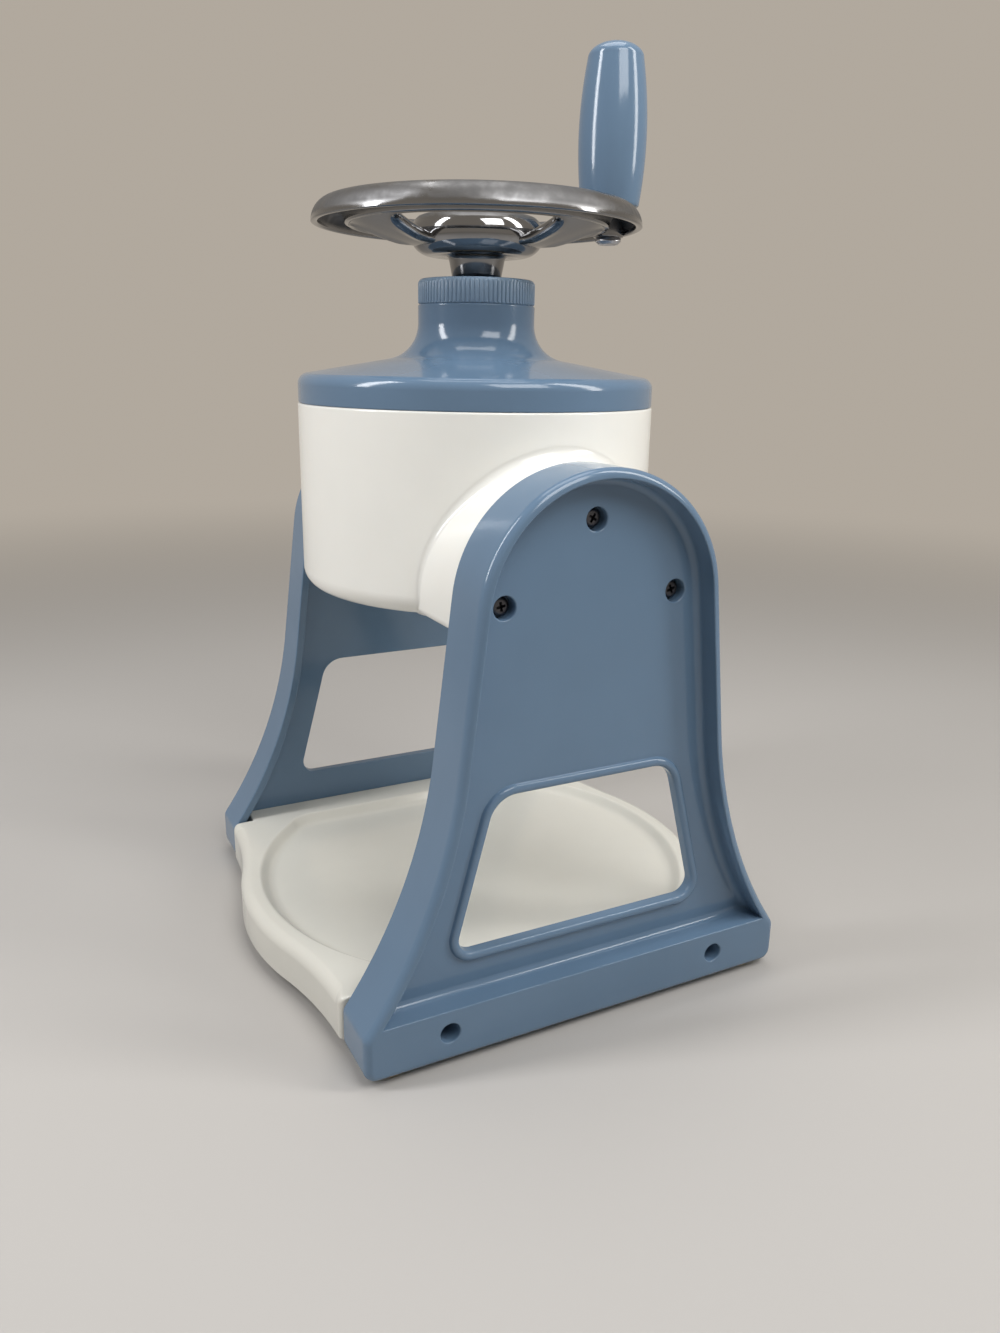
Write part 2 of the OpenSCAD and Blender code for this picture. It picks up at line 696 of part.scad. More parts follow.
module wheel_rim() {
    rotate_extrude() polygon(concat(rim_arc(0), [for (i = [14:-1:0]) rim_arc(rim_t)[i]]));
}

module wheel_spokes() {
    out = rim_mid - wheel_rim_w / 2 + 1.2;
    low = [[16, -6.9], [22, -6.1], [28, -4.9], [34, -3.2], [out - 4, -1.2], [out, 0.3]];
    for (k = [0:2]) rotate([0, 0, spoke_start + 120 * k - spoke_sweep / 2])
        rotate_extrude(angle = spoke_sweep)
            polygon(concat(low, [for (i = [5:-1:0]) low[i] + [0, 3]]));
}

module wheel_hub() {
    rotate_extrude() polygon(concat([[0, -wheel_lift], [7.9, -wheel_lift], [9.3, -9], [10.4, -8.7]],
        arc([15.5, -2.3], 6.5, -90, 50, 9), [[17, 3.5], [0, 3.5]]));
}

module knob_place() {
    rotate([0, 0, knob_angle]) translate([rim_mid, 0, 0]) children();
}

module hand_wheel() {
    color(chrome) translate([0, 0, wheel_z]) difference() {
        union() {
            wheel_rim();
            wheel_spokes();
            wheel_hub();
            knob_place() translate([0, 0, knob_boss_low])
                cylinder(r = knob_boss_r, h = knob_seat - knob_boss_low);
        }
        translate([0, 0, -wheel_lift - 1]) cylinder(r = spindle_r + 0.03, h = 6.6);
        translate([0, 0, -wheel_lift]) cylinder(r = spindle_top_r + 0.03, h = 40);
        knob_place() translate([0, 0, -5]) cylinder(d = knob_screw_d + 0.1, h = 20);
    }
}

module wheel_nut() {
    color(chrome) translate([0, 0, hub_top_z]) difference() {
        union() {
            cylinder(d = 15, h = 5, $fn = 6);
            rotate_extrude() polygon(concat([[0, 4], [6, 4]], arc([0, 4.5], 6, 0, 90, 8)));
        }
        translate([0, 0, -1]) cylinder(r = spindle_top_r + 0.03, h = 7.5);
    }
}

// Gripper: ribbed disc that presses and turns the ice
spike_r = 2.2;
spike_pin_r = 1.5;
spike_pin_h = 1.3;
gripper_hub_r = 13;
gripper_screw_d = 4;
gripper_screw_head_d = 8.4;
spike_spots = concat([for (i = [0:3]) 20 * [cos(90 * i + 30), sin(90 * i + 30)]],
    [for (i = [0:7]) (gripper_d / 2 - 7) * [cos(45 * i), sin(45 * i)]]);

module ice_gripper() {
    color(nylon) difference() {
        union() {
            translate([0, 0, plate_z]) cylinder(d = gripper_d, h = plate_t);
            translate([0, 0, plate_z]) cylinder(r = gripper_hub_r, h = hub_h);
            for (i = [0:5]) rotate([0, 0, 60 * i + 22]) translate([10, -1, plate_z + 1])
                cube([gripper_d / 2 - 14, 2, plate_t + 1]);
            flat_ring(gripper_d / 2, gripper_d - 4, plate_z, plate_t + 2);
        }
        translate([0, 0, plate_z + 3]) cylinder(r = spindle_r + 0.03, h = 20);
        translate([0, 0, plate_z - 1]) cylinder(d = gripper_screw_d + 0.2, h = 10);
        translate([0, 0, plate_z - 1]) cylinder(d = gripper_screw_head_d + 0.6, h = 2.6);
        for (q = spike_spots) translate([q[0], q[1], plate_z - 1])
            cylinder(r = spike_pin_r + 0.02, h = spike_pin_h + 1.1);
    }
}

module gripper_spikes() {
    color(steel) for (q = spike_spots) translate([q[0], q[1], plate_z]) rotate_extrude()
        polygon([[0, -spike_h], [0.4, -spike_h], [spike_r, 0], [spike_pin_r, 0],
            [spike_pin_r, spike_pin_h], [0, spike_pin_h]]);
}

module gripper_screw() {
    head = gripper_screw_head_d / 2;
    color(steel) difference() {
        translate([0, 0, plate_z]) rotate_extrude() polygon([[0, -0.6], [head - 1, -0.6],
            [head, 0.4], [head, 1.6], [gripper_screw_d / 2, 1.6], [gripper_screw_d / 2, 3], [0, 3]]);
        translate([1 - head, -0.5, plate_z - 1]) cube([2 * head - 2, 1, 1.2]);
    }
}

module knob_washer() {
    color(steel) translate([0, 0, wheel_z]) knob_place() flat_ring(knob_washer_r, knob_screw_d + 0.4,
        knob_seat, knob_washer_t);
}

// Knob: barrel turned on a screw that runs in the wheel rim
knob_z = wheel_z + knob_seat + knob_washer_t + 0.2;
knob_r = knob_d / 2;
knob_top = 5;

function barrel(z) = knob_r - 1.65 * pow((z - 0.42 * knob_h) / (0.42 * knob_h), 2);

module crank_knob() {
    crown = barrel(knob_h - knob_top);
    color(blue) translate([0, 0, knob_z]) knob_place() difference() {
        rotate_extrude() polygon(concat([[0, 0], [barrel(0) - 1, 0]],
            [for (i = [0:12]) [barrel(0.8 + (knob_h - knob_top - 0.8) * i / 12),
                0.8 + (knob_h - knob_top - 0.8) * i / 12]],
            [for (i = [1:8]) [crown * cos(90 * i / 8) + 0, knob_h - knob_top * (1 - sin(90 * i / 8))]]));
        translate([0, 0, -1]) cylinder(d = knob_screw_d + 0.1, h = knob_screw_len + 2);
    }
}

module knob_screw() {
    low = wheel_z + knob_boss_low - 0.2;
    r = knob_screw_d / 2;
    head = knob_screw_head_d / 2;
    color(steel) knob_place() difference() {
        rotate_extrude() polygon([[0, low - knob_screw_head_h], [head - 1.2, low - knob_screw_head_h],
            [head, low - knob_screw_head_h + 1], [head, low], [r, low],
            [r, knob_z + knob_screw_len], [0, knob_z + knob_screw_len]]);
        translate([-head, -0.5, low - knob_screw_head_h - 1]) cube([2 * head, 1, 2]);
    }
}

right_stand();
left_stand();
base_tray();
hopper();
foot_pads();
hopper_screws();
base_screws();
blade();
blade_clamp();
blade_screws();
lid();
neck_cap();
spindle_bush();
spring_washer();
press_spring();
thrust_washer();
spindle();
hand_wheel();
wheel_nut();
ice_gripper();
gripper_spikes();
gripper_screw();
knob_washer();
crank_knob();
knob_screw();
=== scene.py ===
"""Looks of the hand-cranked ice shaver: smooth moulded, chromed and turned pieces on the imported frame."""

import json
import logging
import math
from dataclasses import dataclass, field
from enum import Enum
from typing import Any, Callable, Optional, Sequence, Union

import bmesh
import bpy
import numpy as np
from mathutils import Matrix, Vector

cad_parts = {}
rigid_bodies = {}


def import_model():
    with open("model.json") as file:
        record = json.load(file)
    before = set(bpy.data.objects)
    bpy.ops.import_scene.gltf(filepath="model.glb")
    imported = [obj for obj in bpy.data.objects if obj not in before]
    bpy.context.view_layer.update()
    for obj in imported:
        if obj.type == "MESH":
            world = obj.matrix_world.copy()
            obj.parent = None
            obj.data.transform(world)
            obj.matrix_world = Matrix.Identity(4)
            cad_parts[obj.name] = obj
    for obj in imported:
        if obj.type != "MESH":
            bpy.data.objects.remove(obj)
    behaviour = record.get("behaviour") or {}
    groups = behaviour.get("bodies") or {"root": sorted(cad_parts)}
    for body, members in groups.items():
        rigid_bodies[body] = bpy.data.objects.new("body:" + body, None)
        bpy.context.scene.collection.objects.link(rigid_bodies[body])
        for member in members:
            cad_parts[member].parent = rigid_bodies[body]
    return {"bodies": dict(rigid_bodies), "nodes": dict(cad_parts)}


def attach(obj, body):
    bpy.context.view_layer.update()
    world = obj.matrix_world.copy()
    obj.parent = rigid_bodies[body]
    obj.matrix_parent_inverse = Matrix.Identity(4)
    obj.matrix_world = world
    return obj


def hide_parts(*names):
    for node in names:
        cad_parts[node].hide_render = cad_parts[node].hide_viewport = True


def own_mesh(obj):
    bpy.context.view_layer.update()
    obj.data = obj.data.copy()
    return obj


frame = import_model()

LOG = logging.getLogger("ice_shaver")
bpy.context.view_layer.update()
MM = 0.001
TAU = 2 * math.pi

Number = Union[int, float]
Colour = tuple[float, float, float]
Spots = tuple[tuple[float, float], ...]

# Places of the screws in a stand, along Y and Z in millimetres
HOPPER_SCREWS: Spots = ((0.0, 163.0), (29.5, 139.5), (-29.5, 139.5))
FOOT_SCREWS: Spots = ((-49.6, 11.9), (49.6, 11.9))

# Sockets of a Mix node that mixes colours: share, two colours, result
MIX_SHARE, MIX_LOW, MIX_HIGH, MIX_RESULT = 0, 6, 7, 2


class Body(Enum):
    """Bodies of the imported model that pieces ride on."""

    FRAME = "frame"
    LID = "lid"
    CRANK = "crank"
    KNOB = "knob"


class Slot(Enum):
    """Material slots of the record."""

    BLUE = "blue_plastic"
    WHITE = "white_plastic"
    CHROME = "chrome"
    STEEL = "steel"
    DARK = "dark_steel"
    NYLON = "nylon"
    PAD = "pad_rubber"


class Side(Enum):
    """The two stands, by their side along X."""

    RIGHT = 1
    LEFT = -1


# ---------------------------------------------------------------- shader maths


class Sock:
    """A shader value that adds Math nodes when it is used in an expression."""

    def __init__(self, nodes: "NodeMaker", socket: bpy.types.NodeSocket) -> None:
        """Wraps one output socket."""
        self.nodes = nodes
        self.socket = socket

    def maths(self, operation: str, *values: Union["Sock", Number]) -> "Sock":
        """Adds one Math node.

        Args:
            operation: the Math node's operation.
            values: its inputs in order, links or numbers.

        Returns:
            The node's value.
        """
        node = self.nodes.add("ShaderNodeMath", {"operation": operation}, dict(enumerate(values)))
        return Sock(self.nodes, node.outputs[0])

    def __add__(self, other: Union["Sock", Number]) -> "Sock":
        """Sum."""
        return self.maths("ADD", self, other)

    def __radd__(self, other: Number) -> "Sock":
        """Sum with a number first."""
        return self.maths("ADD", other, self)

    def __sub__(self, other: Union["Sock", Number]) -> "Sock":
        """Difference."""
        return self.maths("SUBTRACT", self, other)

    def __rsub__(self, other: Number) -> "Sock":
        """Difference with a number first."""
        return self.maths("SUBTRACT", other, self)

    def __mul__(self, other: Union["Sock", Number]) -> "Sock":
        """Product."""
        return self.maths("MULTIPLY", self, other)

    def __rmul__(self, other: Number) -> "Sock":
        """Product with a number first."""
        return self.maths("MULTIPLY", other, self)

    def ramp(self, low: float, high: float) -> "Sock":
        """Smooth step from 0 at low to 1 at high.

        Args:
            low: value that becomes 0.
            high: value that becomes 1.

        Returns:
            The stepped value.
        """
        node = self.nodes.add("ShaderNodeMapRange", {"interpolation_type": "SMOOTHSTEP"},
                              {"Value": self, "From Min": low, "From Max": high})
        return Sock(self.nodes, node.outputs[0])


class NodeMaker:
    """Adds nodes to one shader tree."""

    def __init__(self, tree: bpy.types.NodeTree) -> None:
        """Empties the tree."""
        self.tree = tree
        tree.nodes.clear()

    def add(self, kind: str, settings: Optional[dict[str, Any]] = None,
            sockets: Optional[dict[Any, Any]] = None) -> bpy.types.Node:
        """Adds one node of any type.

        Args:
            kind: the node's type.
            settings: its properties, set first.
            sockets: input name or index, to a number, colour or link.

        Returns:
            The new node.
        """
        node = self.tree.nodes.new(kind)
        for key, value in (settings or {}).items():
            setattr(node, key, value)
        for key, value in (sockets or {}).items():
            target = node.inputs[key]
            if isinstance(value, Sock):
                self.tree.links.new(value.socket, target)
            elif isinstance(value, bpy.types.NodeSocket):
                self.tree.links.new(value, target)
            elif target.type == "RGBA" and len(value) == 3:
                target.default_value = (*value, 1.0)
            else:
                target.default_value = value
        return node

    def place(self, stretch: Sequence[float] = (1, 1, 1)) -> bpy.types.NodeSocket:
        """Object coordinates, stretched along the axes.

        Args:
            stretch: factor along each axis.

        Returns:
            The vector socket.
        """
        points = self.add("ShaderNodeTexCoord").outputs["Object"]
        if tuple(stretch) == (1, 1, 1):
            return points
        mapping = self.add("ShaderNodeMapping", None, {"Vector": points, "Scale": tuple(stretch)})
        return mapping.outputs[0]

    def noise(self, scale: float, detail: float = 3.0, rough: float = 0.5,
              stretch: Sequence[float] = (1, 1, 1)) -> Sock:
        """Noise on Object coordinates.

        Args:
            scale: noise scale per metre.
            detail: octaves.
            rough: roughness of the octaves.
            stretch: factor along each axis.

        Returns:
            The noise value, about 0.5 on average.
        """
        node = self.add("ShaderNodeTexNoise", None, {"Vector": self.place(stretch), "Scale": scale,
                                                     "Detail": detail, "Roughness": rough})
        return Sock(self, node.outputs["Fac"])

    def blend(self, share: Sock, low: Any, high: Any) -> bpy.types.NodeSocket:
        """Mixes two colours.

        Args:
            share: 0 for low, 1 for high.
            low: colour or link.
            high: colour or link.

        Returns:
            The mixed colour socket.
        """
        node = self.add("ShaderNodeMix", {"data_type": "RGBA"})
        for index, value in ((MIX_SHARE, share.socket), (MIX_LOW, low), (MIX_HIGH, high)):
            if isinstance(value, bpy.types.NodeSocket):
                self.tree.links.new(value, node.inputs[index])
            else:
                node.inputs[index].default_value = (*value, 1.0)
        return node.outputs[MIX_RESULT]

    def bump(self, height: Sock, distance_mm: float, strength: float) -> bpy.types.NodeSocket:
        """Bump normal from a height.

        Args:
            height: height value.
            distance_mm: depth that a height of 1 stands for.
            strength: share of the effect.

        Returns:
            The normal socket.
        """
        return self.add("ShaderNodeBump", None, {"Height": height, "Distance": distance_mm * MM,
                                                 "Strength": strength}).outputs[0]


def tint(colour: Colour, factor: float) -> Colour:
    """A colour made lighter or darker by a factor."""
    return tuple(min(1.0, c * factor) for c in colour)


def srgb(red: int, green: int, blue: int) -> Colour:
    """Linear colour of 8-bit display values."""
    def linear(v: float) -> float:
        """One channel."""
        return v / 12.92 if v <= 0.04045 else ((v + 0.055) / 1.055) ** 2.4
    return linear(red / 255), linear(green / 255), linear(blue / 255)


def new_material(name: str) -> tuple[bpy.types.Material, NodeMaker]:
    """An empty node material.

    Args:
        name: the material's name.

    Returns:
        The material and the maker of its nodes.
    """
    material = bpy.data.materials.new(name)
    material.use_nodes = True
    return material, NodeMaker(material.node_tree)


def close_material(nodes: NodeMaker, sockets: dict[Any, Any]) -> None:
    """Adds the surface shader and the output.

    Args:
        nodes: maker of the material's nodes.
        sockets: the surface shader's inputs.
    """
    shader = nodes.add("ShaderNodeBsdfPrincipled", None, sockets)
    nodes.add("ShaderNodeOutputMaterial", None, {"Surface": shader.outputs[0]})


@dataclass(frozen=True)
class MouldedPlastic:
    """Glossy injection-moulded plastic with faint flow marks, fine skin grain and light scuffs."""

    name: str
    colour: Colour
    slot: Slot
    rough: float = 0.2
    mottle: float = 0.03
    grain_mm: float = 0.006
    scuff: float = 0.08
    glow: float = 0.0

    def material(self) -> bpy.types.Material:
        """Makes the node material.

        Returns:
            The material.
        """
        material, nodes = new_material(self.name)
        flow = nodes.noise(14, 4, 0.55, (1, 1, 0.45))
        cloud = nodes.noise(55, 3, 0.5)
        share = (0.6 * flow + 0.4 * cloud).ramp(0.33, 0.67)
        colour = nodes.blend(share, tint(self.colour, 1 - self.mottle), tint(self.colour, 1 + self.mottle))
        scuff = nodes.noise(160, 5, 0.65, (1, 1, 0.3)).ramp(0.52, 0.78)
        rough = self.rough + self.scuff * scuff + 0.03 * cloud
        orange = nodes.noise(420, 2, 0.5)
        skin = nodes.noise(2600, 2, 0.5)
        normal = nodes.bump(0.75 * orange + 0.25 * skin, self.grain_mm, 0.5)
        sockets = {"Base Color": colour, "Roughness": rough, "Normal": normal, "IOR": 1.5}
        if self.glow:
            sockets["Subsurface Weight"] = self.glow
            sockets["Subsurface Radius"] = (1.0, 0.9, 0.8)
            sockets["Subsurface Scale"] = 0.003
        close_material(nodes, sockets)
        return material


@dataclass(frozen=True)
class BrightPlate:
    """Bright chrome plate over a cast part: soft waviness, handling haze, worn to satin above a height, where
    the colour is also darkened as a painted dark reflection.
    """

    name: str = "bright_chrome"
    colour: Colour = (0.26, 0.26, 0.265)
    slot: Slot = Slot.CHROME
    rough: float = 0.07
    satin: float = 0.48
    # Colour factor above satin_z: painted dark reflection on the top of the rim.
    top_shade_tint: float = 0.48
    satin_z: tuple[float, float] = (0.2480, 0.2500)

    def material(self) -> bpy.types.Material:
        """Makes the node material.

        Returns:
            The material.
        """
        material, nodes = new_material(self.name)
        haze = nodes.noise(45, 4, 0.6).ramp(0.45, 0.75)
        specks = nodes.noise(900, 3, 0.7).ramp(0.63, 0.8)
        split = nodes.add("ShaderNodeSeparateXYZ", None, {"Vector": nodes.place()})
        high = Sock(nodes, split.outputs["Z"]).ramp(*self.satin_z)
        # Above satin_z the roughness rises for the satin wear, and the colour is darkened there too: a
        # painted dark reflection on the top of the rim.
        worn_and_shaded = high * nodes.noise(70, 4, 0.6).ramp(0.15, 0.6)
        bright = nodes.blend(haze, self.colour, tint(self.colour, 0.9))
        colour = nodes.blend(worn_and_shaded, bright, tint(self.colour, self.top_shade_tint))
        rough = self.rough + 0.09 * haze + 0.12 * specks + self.satin * worn_and_shaded
        wave = nodes.noise(120, 2, 0.5)
        close_material(nodes, {"Base Color": colour, "Metallic": 1.0, "Roughness": rough,
                               "Normal": nodes.bump(wave, 0.02, 0.35)})
        return material


@dataclass(frozen=True)
class TurnedSteel:
    """Satin steel with fine tool marks across one axis."""

    name: str
    colour: Colour
    slot: Slot
    rough: float = 0.3
    marks: Sequence[float] = (1, 1, 14)
    marks_mm: float = 0.01

    def material(self) -> bpy.types.Material:
        """Makes the node material.

        Returns:
            The material.
        """
        material, nodes = new_material(self.name)
        lines = nodes.noise(260, 3, 0.6, self.marks)
        blotch = nodes.noise(90, 3, 0.55).ramp(0.4, 0.7)
        colour = nodes.blend(0.5 * lines + 0.5 * blotch, tint(self.colour, 0.86), tint(self.colour, 1.06))
        rough = self.rough + 0.14 * lines - 0.05 * blotch
        close_material(nodes, {"Base Color": colour, "Metallic": 1.0, "Roughness": rough,
                               "Normal": nodes.bump(lines, self.marks_mm, 0.5)})
        return material


@dataclass(frozen=True)
class SoftMatte:
    """Natural nylon or soft pad stock: matte, a little cloudy and finely pitted."""

    name: str
    colour: Colour
    slot: Slot
    rough: float = 0.5

    def material(self) -> bpy.types.Material:
        """Makes the node material.

        Returns:
            The material.
        """
        material, nodes = new_material(self.name)
        cloud = nodes.noise(130, 4, 0.6).ramp(0.3, 0.7)
        pits = nodes.noise(1500, 3, 0.6)
        colour = nodes.blend(cloud, tint(self.colour, 0.88), tint(self.colour, 1.05))
        close_material(nodes, {"Base Color": colour, "Roughness": self.rough + 0.12 * cloud,
                               "Normal": nodes.bump(pits, 0.03, 0.5)})
        return material


@dataclass
class Paint:
    """The finishes of the object, each made once."""

    blue: MouldedPlastic = MouldedPlastic("slate_blue_gloss", srgb(100, 125, 150), Slot.BLUE,
                                          rough=0.11, mottle=0.03, grain_mm=0.005, scuff=0.06)
    # Lighter blue than the lid: painted light standing in for the light caught on the cap's ribs; the higher
    # roughness and scuffs are wear.
    grip: MouldedPlastic = MouldedPlastic("worn_blue_grip", srgb(132, 156, 180), Slot.BLUE,
                                          rough=0.24, mottle=0.05, grain_mm=0.006, scuff=0.1)
    white: MouldedPlastic = MouldedPlastic("warm_white_gloss", srgb(243, 242, 236), Slot.WHITE,
                                           rough=0.14, mottle=0.012, grain_mm=0.004, scuff=0.06, glow=0.15)
    # Darker white than the hopper: painted shade where the hopper shades the tray; the higher scuff is wear.
    tray: MouldedPlastic = MouldedPlastic("worn_white_gloss", srgb(219, 217, 208), Slot.WHITE,
                                          rough=0.16, mottle=0.015, grain_mm=0.005, scuff=0.08, glow=0.1)
    chrome: BrightPlate = BrightPlate()
    steel: TurnedSteel = TurnedSteel("satin_steel", (0.58, 0.58, 0.6), Slot.STEEL)
    blade: TurnedSteel = TurnedSteel("ground_blade_steel", (0.66, 0.66, 0.68), Slot.STEEL,
                                    rough=0.2, marks=(14, 1, 1))
    dark: TurnedSteel = TurnedSteel("blackened_screw", (0.1, 0.1, 0.11), Slot.DARK,
                                   rough=0.34, marks=(3, 3, 3))
    nylon: SoftMatte = SoftMatte("natural_nylon", srgb(224, 221, 208), Slot.NYLON, rough=0.42)
    pad: SoftMatte = SoftMatte("amber_soft_pad", srgb(196, 178, 136), Slot.PAD, rough=0.55)
    made: dict[str, bpy.types.Material] = field(default_factory=dict)

    def of(self, finish: Any) -> bpy.types.Material:
        """The material of a finish.

        Args:
            finish: one of the finishes.

        Returns:
            Its material, made at the first call.
        """
        if finish.name not in self.made:
            self.made[finish.name] = finish.material()
        return self.made[finish.name]


# ---------------------------------------------------------------- mesh making


def arc(centre: Sequence[float], radius: float, start: float, end: float, steps: int) -> np.ndarray:
    """Points of an arc in a plane.

    Args:
        centre: centre of the arc.
        radius: its radius.
        start: first angle in degrees.
        end: last angle in degrees.
        steps: number of steps.

    Returns:
        The points, one a row.
    """
    angles = np.radians(np.linspace(start, end, steps + 1))
    return np.column_stack([centre[0] + radius * np.cos(angles), centre[1] + radius * np.sin(angles)])


def dense(points: np.ndarray, step: float = 0.25) -> np.ndarray:
    """Resamples a closed line at an even spacing.

    Args:
        points: corners of the closed line.
        step: spacing.

    Returns:
        The new points.
    """
    closed = np.vstack([points, points[:1]])
    run = np.concatenate([[0.0], np.cumsum(np.linalg.norm(np.diff(closed, axis=0), axis=1))])
    count = max(16, int(run[-1] / step))
    places = np.linspace(0, run[-1], count, endpoint=False)
    return np.column_stack([np.interp(places, run, closed[:, k]) for k in (0, 1)])


def softened(points: np.ndarray, reach: float, step: float = 0.25) -> np.ndarray:
    """Rounds the corners of a closed line by a running average.

    Args:
        points: corners of the closed line.
        reach: about how far the rounding reaches from a corner.
        step: spacing of the result.

    Returns:
        The softened points.
    """
    line = dense(points, step)
    wide = max(1, int(reach / step))
    taps = np.exp(-0.5 * (np.arange(-wide, wide + 1) / (0.45 * wide)) ** 2)
    taps /= taps.sum()
    padded = np.vstack([line[-wide:], line, line[:wide]])
    return np.column_stack([np.convolve(padded[:, k], taps, "valid") for k in (0, 1)])


def rounded(corners: Sequence[Sequence[float]], radii: Sequence[float], steps: int = 10) -> np.ndarray:
    """Polygon with its corners rounded by arcs.

    Args:
        corners: the polygon's corners.
        radii: radius at each corner.
        steps: steps of each arc.

    Returns:
        The points of the outline.
    """
    out, count = [], len(corners)
    for k, radius in enumerate(radii):
        before, here, after = (np.array(corners[(k + d) % count], float) for d in (-1, 0, 1))
        u, v = (before - here) / np.linalg.norm(before - here), (after - here) / np.linalg.norm(after - here)
        half = math.acos(float(np.clip(u @ v, -1, 1))) / 2
        if radius < 1e-6 or half > 1.55:
            out.append(here[None])
            continue
        centre = here + (u + v) / np.linalg.norm(u + v) * radius / math.sin(half)
        first, last = here + u * radius / math.tan(half) - centre, here + v * radius / math.tan(half) - centre
        a, b = math.degrees(math.atan2(first[1], first[0])), math.degrees(math.atan2(last[1], last[0]))
        out.append(arc(centre, radius, a, a + (b - a + 180) % 360 - 180, steps))
    return np.vstack(out)


def polar(line: np.ndarray, centre: Sequence[float], angles: np.ndarray) -> np.ndarray:
    """Distance from a centre to a closed line round it.

    Args:
        line: points of the line.
        centre: point that sees the whole line.
        angles: directions in radians.

    Returns:
        The distance along each direction.
    """
    away = line - np.asarray(centre, float)
    return np.interp(angles, np.arctan2(away[:, 1], away[:, 0]), np.hypot(away[:, 0], away[:, 1]), period=TAU)


def outward(line: np.ndarray) -> np.ndarray:
    """Unit normals of a closed line that runs counterclockwise.

    Args:
        line: points of the line.

    Returns:
        The outward normal at each point.
    """
    along = np.roll(line, -1, 0) - np.roll(line, 1, 0)
    normal = np.column_stack([along[:, 1], -along[:, 0]])
    return normal / np.linalg.norm(normal, axis=1)[:, None]


def mirrored(half: np.ndarray) -> np.ndarray:
    """Closed line of a half line and its mirror image."""
    return np.vstack([half, half[::-1][1:-1] * [-1, 1]])


def spread(count: int, busy: Sequence[tuple[float, float, float]]) -> np.ndarray:
    """Directions round a full turn, closer together where corners are.

    Args:
        count: number of even directions.
        busy: (middle, half width, step) in degrees of each crowded range.

    Returns:
        The sorted directions in radians.
    """
    lists = [np.linspace(-180, 180, count, endpoint=False)]
    lists += [np.arange(mid - half, mid + half + step / 2, step) for mid, half, step in busy]
    degrees = np.sort((np.concatenate(lists) + 180) % 360 - 180)
    keep = np.concatenate([[True], np.diff(degrees) > 0.02])
    return np.radians(degrees[keep])


def show(name: str, data: Any) -> bpy.types.Object:
    """Makes an object of mesh, lamp or camera data and links it to the scene.

    Args:
        name: the object's name.
        data: what it holds.

    Returns:
        The object, at the origin.
    """
    made = bpy.data.objects.new(name, data)
    bpy.context.scene.collection.objects.link(made)
    return made


def sideways(way: int, y: float, z: float) -> Matrix:
    """Matrix whose Z axis runs outwards along X, through a place of the side view.

    Args:
        way: 1 for the right side and -1 for the left one.
        y: the place along Y.
        z: its height.

    Returns:
        The matrix.
    """
    return Matrix(((0, 0, way, 0), (1, 0, 0, y), (0, way, 0, z), (0, 0, 0, 1)))


class Forge:
    """Collects the skins of one piece in millimetres and makes it a smooth mesh in metres."""

    def __init__(self) -> None:
        """Starts empty."""
        self.points: list[np.ndarray] = []
        self.faces: list[tuple[int, ...]] = []
        self.total = 0

    def put(self, points: np.ndarray) -> int:
        """Adds points.

        Args:
            points: rows of x, y, z.

        Returns:
            The number of the first one.
        """
        start = self.total
        self.points.append(np.asarray(points, float).reshape(-1, 3))
        self.total += len(self.points[-1])
        return start

    def skin(self, loops: Sequence[np.ndarray], ring: bool = False, caps: bool = False,
             keep: Optional[Callable[[int], bool]] = None) -> "Forge":
        """Joins closed loops of equal length one after the other.

        Args:
            loops: the loops in order.
            ring: also joins the last loop to the first.
            caps: closes the first and the last loop with a flat face.
            keep: test of a loop position; the join of last to first only happens where it holds.

        Returns:
            This forge.
        """
        starts, count = [self.put(loop) for loop in loops], len(loops[0])
        pairs = list(zip(starts, starts[1:]))
        for a, b in pairs:
            self.faces += [(a + i, a + (i + 1) % count, b + (i + 1) % count, b + i) for i in range(count)]
        if ring:
            a, b = starts[-1], starts[0]
            self.faces += [(a + i, a + (i + 1) % count, b + (i + 1) % count, b + i)
                           for i in range(count) if keep is None or keep(i)]
        if caps:
            self.faces.append(tuple(range(starts[0] + count - 1, starts[0] - 1, -1)))
            self.faces.append(tuple(range(starts[-1], starts[-1] + count)))
        return self

    def lathe(self, profile: Sequence[Sequence[float]], steps: int = 160,
              frame_of: Optional[Matrix] = None, ring: bool = True) -> "Forge":
        """Turns a profile about Z.

        Args:
            profile: radius and height of each point, in order.
            steps: number of steps round the turn.
            frame_of: matrix that puts the turned skin in its place.
            ring: joins the profile's end to its start.

        Returns:
            This forge.
        """
        turn = np.arange(steps) * TAU / steps
        loops = []
        for radius, height in profile:
            loop = np.column_stack([radius * np.cos(turn), radius * np.sin(turn), np.full(steps, height)])
            if frame_of is not None:
                loop = loop @ np.array(frame_of.to_3x3()).T + np.array(frame_of.translation)
            loops.append(loop)
        return self.skin(loops, ring)

    def piece(self, name: str, crease: float = 35.0) -> bpy.types.Object:
        """Makes the object.

        Args:
            name: the object's name.
            crease: edges that turn by more degrees than this stay sharp.

        Returns:
            The object, at the origin.
        """
        mesh = bpy.data.meshes.new(name)
        mesh.from_pydata((np.vstack(self.points) * MM).tolist(), [], self.faces)
        piece = show(name, mesh)
        tidy_mesh(mesh, crease)
        return piece


def smooth(mesh: bpy.types.Mesh, crease: float) -> None:
    """Smooth shading, with edges that turn by more degrees than the crease left sharp."""
    mesh.shade_smooth()
    mesh.set_sharp_from_angle(angle=math.radians(crease))


